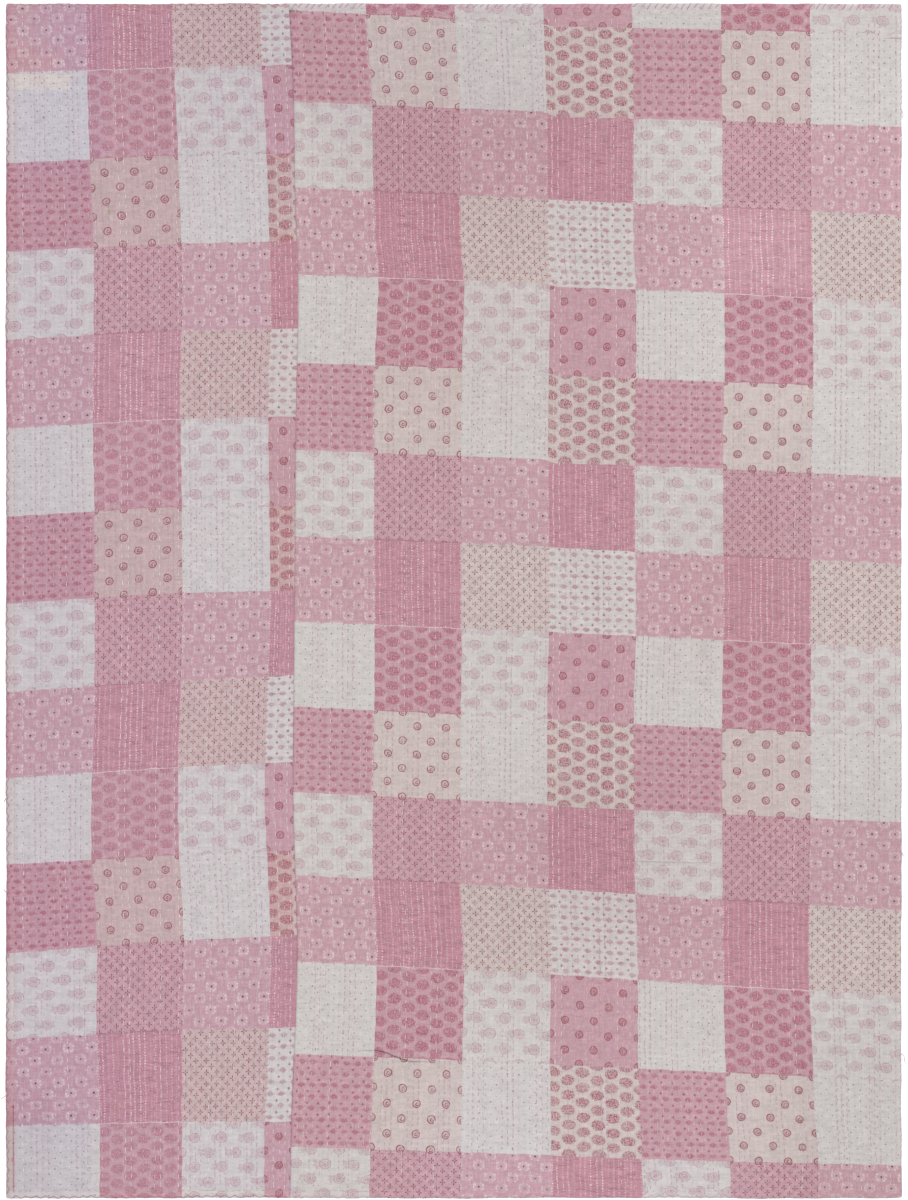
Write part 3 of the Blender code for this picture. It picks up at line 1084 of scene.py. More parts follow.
@dataclass(frozen=True)
class Lie:
    """How the printed squares lie on one panel."""

    side: int
    hem: float
    first_row: int
    borders: tuple[tuple[int, float, Curve], ...]
    stations: tuple[tuple[float, tuple[int, ...]], ...]
    edge_stretch: float
    rose_rows: tuple[float, ...]
    anchors: tuple[Anchor, ...]
    steps: int
    rows: int
    end_steps: tuple[int, int]

    @property
    def last_row(self) -> int:
        """The number of the last crosswise border."""
        return len(self.stations[0][1]) - 1

    def border_x(self, number: float, y: np.ndarray) -> np.ndarray:
        """Where a lengthwise border of the squares runs."""
        from_top = THROW_LENGTH / 2 - y
        numbers = [border[0] for border in self.borders]
        k = int(np.clip(np.searchsorted(numbers, number, side="right") - 1, 0, len(numbers) - 2))
        (low, *start), (high, *end) = self.borders[k], self.borders[k + 1]
        share = (number - low) / (high - low)
        a, b = (base + MM * smooth_along(curve, from_top) for base, curve in (start, end))
        return a + (b - a) * share + self.unsteady(y, number)

    def border_y(self, number: float, x: np.ndarray) -> np.ndarray:
        """Where a crosswise border of the squares runs, as a distance from the top end."""
        k = int(np.clip(math.floor(number), 0, self.last_row - 1))
        places = np.array([place for place, _ in self.stations])
        downs = np.array([rows[k] + (rows[k + 1] - rows[k]) * (number - k) for _, rows in self.stations])
        start = np.clip(np.searchsorted(places, x, side="right") - 1, 0, len(places) - 2)
        share = (x - places[start]) / (places[start + 1] - places[start])
        down = downs[start] + (downs[start + 1] - downs[start]) * share
        return MM * down + self.unsteady(x, number + 0.5)

    def unsteady(self, place: np.ndarray, number: float) -> np.ndarray:
        """How a printed border shakes to one side and back, as a hand-cut screen leaves it."""
        return BORDER_SHAKE * (wave(place, 0.061, 5.1 * number) + wave(place, 0.037, 7.7 * number) * 0.8)


HEM_LINES = 8
LEFT_ROWS = 45
RIGHT_ROWS = 97  # taken off the right panel's row numbers while its lines are laid, and added again

# Loose ends of thread that hang out over the edge: the points of each, in metres
LOOSE_ENDS = {
    -1: (
        (
            (-0.746, -0.826, 0.0042), (-0.749, -0.8275, 0.003), (-0.751, -0.829, 0.0008),
            (-0.7545, -0.8315, 0.0008), (-0.758, -0.833, 0.0007),
        ),
        (
            (-0.7465, -0.33, 0.0042), (-0.749, -0.331, 0.0028), (-0.751, -0.3335, 0.0009),
            (-0.7525, -0.337, 0.0007),
        ),
        (
            (-0.7465, -0.487, 0.0042), (-0.7492, -0.4865, 0.0028), (-0.7512, -0.485, 0.0009),
            (-0.753, -0.4815, 0.0007),
        ),
    ),
    1: (
        (
            (0.7465, -0.757, 0.0042), (0.7492, -0.7575, 0.0028), (0.7515, -0.7595, 0.0009),
            (0.7545, -0.764, 0.0007), (0.754, -0.769, 0.0007), (0.756, -0.774, 0.0007),
        ),
        (
            (0.7465, 0.822, 0.0042), (0.7492, 0.8205, 0.0028), (0.7512, 0.817, 0.0009),
            (0.7518, 0.812, 0.0007), (0.7508, 0.808, 0.0007),
        ),
        (
            (0.7462, -0.42, 0.0042), (0.7494, -0.421, 0.0026), (0.7514, -0.424, 0.0009),
            (0.7521, -0.428, 0.0007),
        ),
    ),
}


def hem_anchors(mark: Mark, hem: float) -> tuple[Anchor, ...]:
    """The lines of a turned hem, from its underside to its groove."""
    return tuple(Anchor(mark, share * hem, 1, 0.0, height) for share, height in HEM_PROFILE)


LEFT = Lie(
    side=-1,
    hem=0.0140,
    first_row=0,
    borders=(
        (1, -0.6009, (
            (0.0, -15.0), (0.163, -11.0), (0.263, -7.7), (0.413, -1.0), (0.698, -2.7), (0.848, 0.0),
            (1.149, 0.0), (1.283, -4.0), (1.417, -5.0), (1.5, 1.7), (1.584, 4.7), (1.717, 3.3),
            (1.868, 9.0), (2.0, 9.0),
        )),
        (3, -0.3102, (
            (0.0, -14.0), (0.129, -10.0), (0.196, -5.0), (0.397, 1.7), (0.547, 4.0), (0.631, 0.0),
            (0.982, 3.3), (1.132, -0.7), (1.333, -6.0), (1.417, -2.3), (1.55, 3.3), (1.667, 1.7),
            (1.801, -1.7), (1.868, -6.0), (2.0, -6.7),
        )),
    ),
    stations=(
        (-0.677, (115, 265, 413, 560, 708, 855, 1000, 1148, 1292, 1437, 1584, 1729, 1876, 2021)),
        (-0.500, (109, 256, 404, 550, 697, 844, 988, 1137, 1280, 1427, 1570, 1720, 1871, 2018)),
        (-0.288, (104, 252, 399, 545, 692, 842, 983, 1126, 1270, 1418, 1560, 1714, 1871, 2019)),
    ),
    edge_stretch=1.066,
    rose_rows=(3.1, 9.1, 14.3, 19.2, 23.6, 28.0, 32.2, 37.5),
    anchors=(
        *hem_anchors(Mark.EDGE, 0.0140),
        Anchor(Mark.EDGE, 0.0280, 5, 1.0),
        Anchor(Mark.BORDER, 1, 47, 12.66),
        Anchor(Mark.BORDER, 2, 56, 26.64),
        Anchor(Mark.BORDER, 3, 56, 40.46),
        Anchor(Mark.SEAM, 0.0, 18, LEFT_ROWS),
        Anchor(Mark.SEAM, 0.0, 1, LEFT_ROWS, 0.0),
    ),
    steps=32,
    rows=LEFT_ROWS,
    end_steps=(24, 24),
)

RIGHT = Lie(
    side=1,
    hem=0.0095,
    first_row=1,
    borders=(
        (1, -0.1324, (
            (0.0, -15.0), (0.113, -7.5), (0.163, -4.2), (0.296, -2.5), (0.397, 0.8), (0.464, 6.5),
            (0.597, 0.8), (0.882, -0.8), (1.032, 0.0), (1.166, -0.2), (1.316, -2.5), (1.45, -3.0),
            (1.6, 3.5), (1.768, -0.8), (1.918, -6.8), (2.0, -9.0),
        )),
        (4, 0.3036, (
            (0.0, -6.0), (0.196, -2.5), (0.397, -3.2), (0.48, 0.8), (0.581, 1.5), (0.748, -0.8),
            (1.065, 0.8), (1.166, -2.5), (1.467, -0.2), (1.634, 4.2), (1.751, 4.2), (1.885, 9.2),
            (2.0, 13.0),
        )),
        (6, 0.5975, (
            (0.0, -2.0), (0.33, 0.2), (0.497, 2.5), (0.614, 3.2), (0.765, 0.2), (1.065, -0.8),
            (1.333, -1.5), (1.634, -3.5), (1.768, 2.5), (1.868, 5.8), (1.918, 10.9), (2.0, 12.0),
        )),
    ),
    stations=(
        (-0.200, (16, 168, 312, 457, 604, 750, 895, 1037, 1180, 1323, 1462, 1606, 1760, 1915, 2061)),
        (0.145, (36, 182, 328, 468, 616, 763, 909, 1051, 1197, 1339, 1481, 1623, 1773, 1926, 2072)),
        (0.172, (40, 191, 330, 475, 623, 770, 911, 1053, 1199, 1344, 1482, 1625, 1776, 1928, 2073)),
        (0.400, (44, 196, 340, 483, 632, 777, 923, 1063, 1211, 1354, 1497, 1640, 1786, 1936, 2081)),
        (0.672, (51, 205, 352, 497, 642, 790, 935, 1076, 1223, 1367, 1513, 1656, 1799, 1942, 2087)),
    ),
    edge_stretch=1.03,
    rose_rows=(
        3.0, 7.9, 14.5, 18.7, 23.6, 28.9, 33.6, 39.0, 43.9, 49.2, 55.6, 59.9, 65.8, 71.0, 76.6,
        81.9, 87.3, 92.7,
    ),
    anchors=(
        *hem_anchors(Mark.EDGE, 0.0095),
        Anchor(Mark.BORDER, 6, 53, 83.6 - RIGHT_ROWS),
        Anchor(Mark.BORDER, 5, 56, 69.4 - RIGHT_ROWS),
        Anchor(Mark.BORDER, 4, 56, 55.26 - RIGHT_ROWS),
        Anchor(Mark.BORDER, 3, 56, 41.2 - RIGHT_ROWS),
        Anchor(Mark.BORDER, 2, 56, 27.2 - RIGHT_ROWS),
        Anchor(Mark.BORDER, 1, 56, 13.16 - RIGHT_ROWS),
        Anchor(Mark.SEAM, 0.0, 52, 0.0 - RIGHT_ROWS),
        Anchor(Mark.SEAM, 0.0, 1, 0.0 - RIGHT_ROWS, 0.0),
    ),
    steps=16,
    rows=RIGHT_ROWS,
    end_steps=(3, 8),
)


@dataclass
class Grid:
    """The cloth's crossings: arrays with one column a line and one row a crosswise line."""

    x: np.ndarray
    y: np.ndarray
    z: np.ndarray
    u: np.ndarray
    v: np.ndarray
    row: np.ndarray
    hem: np.ndarray

    def flipped(self) -> "Grid":
        """The same crossings with their lines in the other order."""
        return Grid(*(np.flip(values, 0) for values in vars(self).values()))


@dataclass
class SewnPanel:
    """One length of printed cotton with its backing, quilted, hemmed and lying flat."""

    name: str
    node: str
    lie: Lie
    flat: tuple[float, float]
    piece: bpy.types.Object | None = field(default=None, init=False)
    grid: Grid | None = field(default=None, init=False)

    def anchor_x(self, anchor: Anchor, y: np.ndarray) -> np.ndarray:
        """Where a lengthwise anchor line runs."""
        side = self.lie.side
        if anchor.mark is Mark.SEAM:
            return seam_x(y) + side * SEAM_GAP / 8
        if anchor.mark is Mark.BORDER:
            return self.lie.border_x(anchor.value, y)
        return side * (THROW_WIDTH / 2 - edge_inset(y, 1.0 + side) - anchor.value)

    def anchor_y(self, anchor: Anchor, x: np.ndarray) -> np.ndarray:
        """Where a crosswise anchor line runs, as a distance from the top end."""
        if anchor.mark is Mark.BORDER:
            return self.lie.border_y(anchor.value, x)
        if anchor.mark is Mark.BOTTOM:
            return THROW_LENGTH - edge_inset(x, -1.0) - anchor.value
        return edge_inset(x, 1.0) + anchor.value

    def down_anchors(self) -> list[Anchor]:
        """The crosswise anchor lines, from the top end's underside to the bottom end's."""
        anchors = list(hem_anchors(Mark.EDGE, END_HEM))
        last = self.lie.last_row - 1
        for number in range(last + 1):
            anchors.append(Anchor(Mark.BORDER, number, self.lie.steps if number else self.lie.end_steps[0]))
        bottom = list(reversed(hem_anchors(Mark.BOTTOM, END_HEM)))
        bottom[0] = Anchor(Mark.BOTTOM, END_HEM, self.lie.end_steps[1], 0.0, GROOVE_HEIGHT)
        return anchors + bottom

    def spread(self, anchors: list[Anchor]) -> Lines:
        """Every line as a share of the way from one anchor to the next."""
        lines = [(anchors[0], anchors[0], 0.0)]
        for start, end in zip(anchors, anchors[1:]):
            lines += [(start, end, (n + 1) / end.lines) for n in range(end.lines)]
        return lines

    def lay_out(self) -> Grid:
        """Lays the cloth's lines out.

        Returns:
            Every crossing's place, its place in the print, its row and how far it is hem.
        """
        across, down = self.spread(list(self.lie.anchors)), self.spread(self.down_anchors())
        shape = (len(across), len(down))
        x, t = np.zeros(shape), np.linspace(0, THROW_LENGTH, shape[1])[None, :].repeat(shape[0], 0)
        for _ in range(4):
            y = THROW_LENGTH / 2 - t
            for i, (start, end, share) in enumerate(across):
                a, b = self.anchor_x(start, y[i]), self.anchor_x(end, y[i])
                x[i] = a + (b - a) * share
            for j, (start, end, share) in enumerate(down):
                a, b = self.anchor_y(start, x[:, j]), self.anchor_y(end, x[:, j])
                t[:, j] = a + (b - a) * share
        y = THROW_LENGTH / 2 - t
        numbers = np.array([a.row + (b.row - a.row) * share for a, b, share in across])
        row = numbers[:, None].repeat(shape[1], 1)
        u = self.print_across(across, x, y)
        v = self.print_down(down, x, t)
        z, hem = self.heights(across, down, x, y, row)
        x, y = self.round_corners(x, y)
        return Grid(x, y, z, u, v, row, hem)

    def print_across(self, lines: Lines, x: np.ndarray, y: np.ndarray) -> np.ndarray:
        """Each crossing's place across the print, in squares."""
        u = np.zeros_like(x)
        numbers = [a.value for a in self.lie.anchors if a.mark is Mark.BORDER]
        low, high = min(numbers), max(numbers)
        for i, (start, end, share) in enumerate(lines):
            if start.mark is end.mark is Mark.BORDER:
                u[i] = start.value + (end.value - start.value) * share
                continue
            hemmed = Mark.EDGE in (start.mark, end.mark)
            number = low if hemmed == (self.lie.side < 0) else high
            size = PATCH * (self.lie.edge_stretch if hemmed else 1.0)
            u[i] = number + (x[i] - self.lie.border_x(number, y[i])) / size
        return u

    def print_down(self, lines: Lines, x: np.ndarray, t: np.ndarray) -> np.ndarray:
        """Each crossing's place down the print, in squares."""
        v = np.zeros_like(t)
        last = self.lie.last_row - 1
        for j, (start, end, share) in enumerate(lines):
            if start.mark is end.mark is Mark.BORDER:
                v[:, j] = start.value + (end.value - start.value) * share
                continue
            number = last if Mark.BOTTOM in (start.mark, end.mark) else 0
            v[:, j] = number + (t[:, j] - self.lie.border_y(number, x[:, j])) / PATCH
        return v

    def heights(
        self, across: Lines, down: Lines, x: np.ndarray, y: np.ndarray, row: np.ndarray
    ) -> tuple[np.ndarray, np.ndarray]:
        """The height of every crossing, and how far it is hem, from 0 to 1."""
        rib = np.floor(row)
        lift = np.abs(np.sin(np.pi * row)) ** 1.5
        uneven = sum(
            share * np.sin(2 * np.pi * (y / length + chance(rib, k)))
            for k, (length, share) in enumerate(RIB_WAVES)
        )
        slow = np.sin(2 * np.pi * x / SWELL_ACROSS + wave(y, 2 * SWELL_ALONG))
        swell = SWELL_HEIGHT * slow * wave(y, SWELL_ALONG)
        z = CHANNEL_HEIGHT + (RIB_HEIGHT - CHANNEL_HEIGHT) * lift + swell + RIB_UNEVENNESS * uneven * lift

        side = self.lie.side
        from_seam = np.abs(x - seam_x(y))
        from_edge = THROW_WIDTH / 2 - edge_inset(y, 1.0 + side) - side * x
        from_top = THROW_LENGTH / 2 - y - edge_inset(x, 1.0)
        from_bottom = THROW_LENGTH / 2 + y - edge_inset(x, -1.0)
        z = SEAM_HEIGHT + (z - SEAM_HEIGHT) * ease(from_seam / SEAM_RISE)
        hems = ((from_edge, self.lie.hem), (from_top, END_HEM), (from_bottom, END_HEM))
        for distance, hem in hems:
            z = GROOVE_HEIGHT + (z - GROOVE_HEIGHT) * ease((distance - hem) / HEM_RISE)

        shares, levels = zip(*HEM_PROFILE[2:])
        hem_share = np.zeros_like(x)
        for distance, hem in hems:
            inside = distance < hem
            lumps = HEM_LUMPS * wave(x + y, HEM_LUMP_LENGTH) * (distance > HEM_LUMPS_FROM * hem)
            level = np.interp(distance / hem, shares, levels) + lumps
            z = np.where(inside, np.where(hem_share > 0, np.minimum(z, level), level), z)
            hem_share = np.where(inside, 1.0, hem_share)
        for lines, axis in ((across, 0), (down, 1)):
            for n, (start, end, share) in enumerate(lines):
                low = end.height if share == 1.0 or start is end else None
                if low is not None and low < 1.0 * MM:
                    index = (n, slice(None)) if axis == 0 else (slice(None), n)
                    z[index] = np.minimum(z[index], low)
        return np.maximum(z, 0.0), hem_share

    def round_corners(self, x: np.ndarray, y: np.ndarray) -> tuple[np.ndarray, np.ndarray]:
        """Draws the two outer corners in to a small radius."""
        side = self.lie.side
        centre_x = THROW_WIDTH / 2 - CORNER_RADIUS
        for end in (1, -1):
            centre_y = THROW_LENGTH / 2 - CORNER_RADIUS
            a, b = (side * x - centre_x) / CORNER_RADIUS, (end * y - centre_y) / CORNER_RADIUS
            near = (a > 0) & (b > 0)
            ca, cb = np.clip(a, 0, 1), np.clip(b, 0, 1)
            round_a, round_b = ca * np.sqrt(1 - cb**2 / 2), cb * np.sqrt(1 - ca**2 / 2)
            x = np.where(near, side * (centre_x + CORNER_RADIUS * round_a), x)
            y = np.where(near, end * (centre_y + CORNER_RADIUS * round_b), y)
        return x, y

    def build(self) -> bpy.types.Object:
        """Builds the panel as one closed cloth, with its place in the print on every corner.

        Returns:
            The panel's object.
        """
        grid = self.lay_out()
        if self.lie.side > 0:
            grid = grid.flipped()
            grid.row += self.lie.rows
        self.grid = grid
        wide, long = grid.x.shape
        index = np.arange(wide * long).reshape(wide, long)
        around = (index[:-1, :-1], index[:-1, 1:], index[1:, 1:], index[1:, :-1])
        corners = np.stack(around, -1).reshape(-1, 4)
        mesh = bpy.data.meshes.new(self.name)
        points = np.stack((grid.x, grid.y, grid.z), -1).reshape(-1, 3)
        mesh.from_pydata(points.tolist(), [], corners.tolist())

        u, v = grid.u.reshape(-1)[corners], grid.v.reshape(-1)[corners]
        column, line = np.floor(u.mean(1)), np.floor(v.mean(1))
        column = np.clip(column, 0, self.lie.borders[-1][0])
        uv = mesh.uv_layers.new(name="print")
        uv.data.foreach_set("uv", np.stack((u - column[:, None], v - line[:, None]), -1).reshape(-1))
        rows = mesh.attributes.new("rows", "FLOAT_VECTOR", "POINT")
        along = THROW_LENGTH / 2 - grid.y
        rows.data.foreach_set("vector", np.stack((grid.row, along, grid.hem), -1).reshape(-1))
        # Broad tints kept on the cloth's points: dye differences, a painted pool of light at the top right,
        # and broad patches lighter or darker than the dyes
        tints = np.prod([mark.cast(grid.x, grid.y) for mark in STAINS_AND_PAINTED_LIGHT if mark.broad], 0)
        mesh.attributes.new("cast", "FLOAT_VECTOR", "POINT").data.foreach_set("vector", tints.reshape(-1))
        wide = len(REPEAT[0])
        kinds = wide * np.mod(line + self.lie.first_row, len(REPEAT)) + np.mod(column, wide)
        mesh.polygons.foreach_set("material_index", kinds.astype(np.int32))
        mesh.polygons.foreach_set("use_smooth", np.ones(len(corners), bool))
        self.close(mesh)
        self.piece = bpy.data.objects.new(self.name, mesh)
        bpy.context.scene.collection.objects.link(self.piece)
        return self.piece

    def close(self, mesh: bpy.types.Mesh) -> None:
        """Closes the cloth with its flat backing, in a material slot of its own."""
        body = bmesh.new()
        body.from_mesh(mesh)
        rim = [edge for edge in body.edges if edge.is_boundary]
        backing = bmesh.ops.contextual_create(body, geom=rim)["faces"]
        backing = bmesh.ops.triangulate(body, faces=backing, ngon_method="BEAUTY")["faces"]
        for face in backing:
            face.material_index, face.smooth = len(REPEAT) * len(REPEAT[0]), False
        bmesh.ops.recalc_face_normals(body, faces=body.faces)
        body.to_mesh(mesh)
        body.free()

    def dress(self, finishes: list[bpy.types.Material]) -> None:
        """Gives the panel its printed squares and its plain backing."""
        for finish in finishes:
            self.piece.data.materials.append(finish)

    def row_path(self, number: float, rng: random.Random) -> np.ndarray:
        """The points of one row of stitches, from hem to hem.

        Args:
            number: the row, as the grid counts them.
            rng: draws where the sewer begins and ends.

        Returns:
            One point a crosswise line.
        """
        grid, start = self.grid, HEM_LINES + 1 + rng.randrange(2)
        across = np.clip(np.searchsorted(grid.row[:, 0], number) - 1, 0, len(grid.row) - 2)
        low, high = grid.row[across, 0], grid.row[across + 1, 0]
        share = (number - low) / (high - low)
        stop = grid.x.shape[1] - HEM_LINES - rng.randrange(2)
        points = np.stack((grid.x, grid.y, grid.z), -1)
        return (points[across] + (points[across + 1] - points[across]) * share)[start:stop]

    def hem_paths(self) -> tuple[np.ndarray, np.ndarray, np.ndarray]:
        """The grooves of the turned hem: along the top end, the bottom end and the outer side."""
        grid, groove = self.grid, HEM_LINES - 1
        points = np.stack((grid.x, grid.y, grid.z), -1)
        inner = slice(groove, -2) if self.lie.side < 0 else slice(2, -groove)
        side = groove if self.lie.side < 0 else -HEM_LINES
        return points[inner, groove], points[inner, -HEM_LINES], points[side, groove:-groove]


# One stitch over the turned edge. Each point's columns: how far along the stitch, how far in
# as a share of the stitch's reach (or in metres where it is less than OVER_EDGE), and how high in mm
OVER_EDGE = 0.002
ZIGZAG = (
    (0.0, 0.0004, 3.0), (0.10, 0.0010, 3.7), (0.42, 0.9, 4.15), (0.5, 1.0, 4.15), (0.58, 0.9, 4.15),
    (0.90, 0.0010, 3.7),
)
SLANTED = (
    (0.0, 0.0004, 2.6), (0.12, 0.0008, 3.5), (0.45, 0.6, 4.1), (0.72, 1.0, 4.1), (0.76, 1.05, 2.4),
    (0.9, 0.5, 1.4),
)
DEEP_SLANT = (
    (0.0, 1.03, 2.2), (0.04, 1.0, 3.6), (0.28, 0.55, 4.2), (0.54, 0.0010, 3.6), (0.62, 0.0004, 2.6),
    (0.8, 0.5, 1.4),
)


@dataclass
class Quilting:
    """The running stitches of one panel, and the stitches over its turned edge."""

    panel: SewnPanel
    pitch: float = 0.0104
    length: float = 0.0066
    width: float = 0.0015
    white_pitch: float = 0.0150
    white_length: float = 0.0112
    white_shows: tuple[float, ...] = (0.32, 0.4, 0.5, 0.75)
    white_from_rose: float = 0.6
    group_spacing: float = 0.86
    edge_pitch: float = 0.0155
    edge_reach: float = 0.0050
    edge_width: float = 0.0010
    rose_shows: tuple[float, float] = (0.85, 1.15)
    edge_wraps: tuple[float, float] = (-0.12, 0.12)
    edge_reaches: tuple[float, float] = (0.7, 1.15)

    def build(self) -> list[bpy.types.Object]:
        """Makes the stitches.

        Returns:
            The pieces of thread: the rose rows, the white rows and the edge.
        """
        side = self.panel.lie.side
        name = "left" if side < 0 else "right"
        rng = random.Random(7 + side)
        rose = [first + self.group_spacing * n for first in self.panel.lie.rose_rows for n in range(3)]
        rows_there = range(1, self.panel.lie.rows)
        white = [n for n in rows_there if min(abs(n - place) for place in rose) > self.white_from_rose]
        tree = self.running_tree()
        values = {"Seed": 11 + side, "Pitch": self.pitch, "Length": self.length, "Width": self.width}
        rows = {
            ROSE_THREAD: [(self.panel.row_path(n, rng), rng.uniform(*self.rose_shows)) for n in rose],
            WHITE_THREAD: [(self.panel.row_path(n, rng), rng.choice(self.white_shows)) for n in white],
        }
        top, bottom, outer = self.panel.hem_paths()
        rows[WHITE_THREAD].append((top, 0.4))
        rows[ROSE_THREAD] += [(bottom, 0.9), (outer, 0.9)]
        pieces = []
        for thread, paths in rows.items():
            label = f"running_stitches_{thread.slot.split('_')[0]}_{name}"
            if thread is WHITE_THREAD:
                values = {**values, "Pitch": self.white_pitch, "Length": self.white_length}
            pieces.append(self.sew(label, paths, tree, values, thread))
        edge = [(self.edge_path(rng), 1.0), *((np.array(points), 1.1) for points in LOOSE_ENDS[side])]
        thread = DARK_THREAD if side < 0 else PALE_THREAD
        values = {"Width": self.edge_width}
        pieces.append(self.sew(f"edge_stitches_{name}", edge, self.edge_tree(), values, thread))
        return pieces

    def sew(
        self, name: str, paths: list[tuple[np.ndarray, float]], tree: bpy.types.NodeTree,
        values: dict[str, Wire], thread: Thread,
    ) -> bpy.types.Object:
        """Runs a tree of Geometry Nodes along paths and keeps the result as a plain mesh.

        Args:
            name: the piece's name.
            paths: for each path its points, and how much of the thread shows in it.
            tree: the node tree.
            values: the tree's named inputs.
            thread: the finish.

        Returns:
            The piece.
        """
        points = np.concatenate([path for path, _ in paths])
        shows = np.concatenate([np.full(len(path), share) for path, share in paths])
        starts = np.cumsum([0] + [len(path) for path, _ in paths])
        edges = [(n, n + 1) for a, b in zip(starts, starts[1:]) for n in range(a, b - 1)]
        guide_mesh = bpy.data.meshes.new(f"{name}_guide")
        guide_mesh.from_pydata(points.tolist(), edges, [])
        guide_mesh.attributes.new("shows", "FLOAT", "POINT").data.foreach_set("value", shows)
        guide = bpy.data.objects.new(f"{name}_guide", guide_mesh)
        bpy.context.scene.collection.objects.link(guide)
        modifier = guide.modifiers.new("stitches", "NODES")
        modifier.node_group = tree
        material = bpy.data.materials.get(thread.name) or thread.material()
        given = {**values, "Thread": material}
        for item in tree.interface.items_tree:
            if item.in_out == "INPUT" and item.name in given:
                modifier[item.identifier] = given[item.name]
        made = bpy.data.meshes.new_from_object(guide.evaluated_get(bpy.context.evaluated_depsgraph_get()))
        made.name = name
        piece = bpy.data.objects.new(name, made)
        bpy.context.scene.collection.objects.link(piece)
        bpy.data.objects.remove(guide)
        bpy.data.meshes.remove(guide_mesh)
        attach(piece, "root")
        LOG.info("%s: %d faces", name, len(made.polygons))
        return piece

    def running_tree(self) -> bpy.types.NodeTree:
        """Running stitches: one short spindle of thread at each pitch of a row."""
        inputs = {
            "Geometry": ("Geometry", None), "Pitch": ("Float", 0.011), "Length": ("Float", 0.007),
            "Width": ("Float", 0.0009), "Skipped": ("Float", 0.04), "Astray": ("Float", 0.0005),
            "Seed": ("Int", 1), "Thread": ("Material", None),
        }
        w, given, out = new_group("Geometry", "running stitches", inputs, {"Geometry": "Geometry"})
        rows = w.take("GeometryNodeMeshToCurve", {"Mesh": given["Geometry"]})
        steps = {"Curve": rows, "Length": given["Pitch"]}
        spots = w.add("GeometryNodeCurveToPoints", steps, mode="LENGTH")
        skipped = self.drawn(w, given, "BOOLEAN", {"Probability": given["Skipped"]})
        found = {"Geometry": w.output(spots, "Points"), "Selection": skipped}
        kept = w.take("GeometryNodeDeleteGeometry", found)
        shake = self.drawn(w, given, "FLOAT_VECTOR", {"Min": (-1.0, -3.0, 0.0), "Max": (1.0, 3.0, 0.5)})
        shift = w.math("SCALE", shake, given["Astray"])
        moved = w.take("GeometryNodeSetPosition", {"Geometry": kept, "Offset": shift})
        grain = w.take("GeometryNodeMeshUVSphere", {"Segments": 4, "Rings": 3, "Radius": 0.5})
        size = w.join(given["Width"], given["Width"], given["Length"])
        grain = w.take("GeometryNodeTransform", {"Geometry": grain, "Scale": size})
        along = {"Vector": w.output(spots, "Tangent")}
        turn = w.take("FunctionNodeAlignRotationToVector", along, axis="Z")
        sizes = {"Min": (0.85, 0.85, 0.72), "Max": (1.15, 1.15, 1.22)}
        stretch = self.drawn(w, given, "FLOAT_VECTOR", sizes)
        shows = w.take("GeometryNodeInputNamedAttribute", {"Name": "shows"}, data_type="FLOAT")
        stretch = stretch * w.join(shows, shows, w.ramp(shows, 0.4, 1.0, 0.8, 1.0))
        placed = {"Points": moved, "Instance": grain, "Rotation": turn, "Scale": stretch}
        laid = w.take("GeometryNodeInstanceOnPoints", placed)
        self.finish(w, out, laid, given["Thread"])
        return w.tree

    def drawn(self, w: Wiring, given: dict[str, Signal], kind: str, limits: dict[str, Wire]) -> Signal:
        """A value drawn for each stitch, from the tree's own seed."""
        return w.take("FunctionNodeRandomValue", {**limits, "Seed": given["Seed"]}, data_type=kind)

    def edge_tree(self) -> bpy.types.NodeTree:
        """A thread that follows its path."""
        inputs = {
            "Geometry": ("Geometry", None), "Width": ("Float", 0.0008), "Thread": ("Material", None),
        }
        w, given, out = new_group("Geometry", "edge thread", inputs, {"Geometry": "Geometry"})
        path = w.take("GeometryNodeMeshToCurve", {"Mesh": given["Geometry"]})
        shows = w.take("GeometryNodeInputNamedAttribute", {"Name": "shows"}, data_type="FLOAT")
        path = w.take("GeometryNodeSetCurveRadius", {"Curve": path, "Radius": shows})
        radius = given["Width"] * 0.5
        round_ring = {"Resolution": 5, "Radius": radius}
        ring = w.take("GeometryNodeCurvePrimitiveCircle", round_ring, mode="RADIUS")
        wires = {"Curve": path, "Profile Curve": ring, "Fill Caps": True}
        tube = w.take("GeometryNodeCurveToMesh", wires)
        self.finish(w, out, tube, given["Thread"])
        return w.tree

    def finish(self, w: Wiring, out: bpy.types.Node, made: Wire, thread: Wire) -> None:
        """Ends a tree: real meshes, shaded smooth, in the thread's finish."""
        real = w.take("GeometryNodeRealizeInstances", {"Geometry": made})
        smooth = w.take("GeometryNodeSetShadeSmooth", {"Geometry": real})
        made = w.take("GeometryNodeSetMaterial", {"Geometry": smooth, "Material": thread})
        w.feed(out, "Geometry", made)

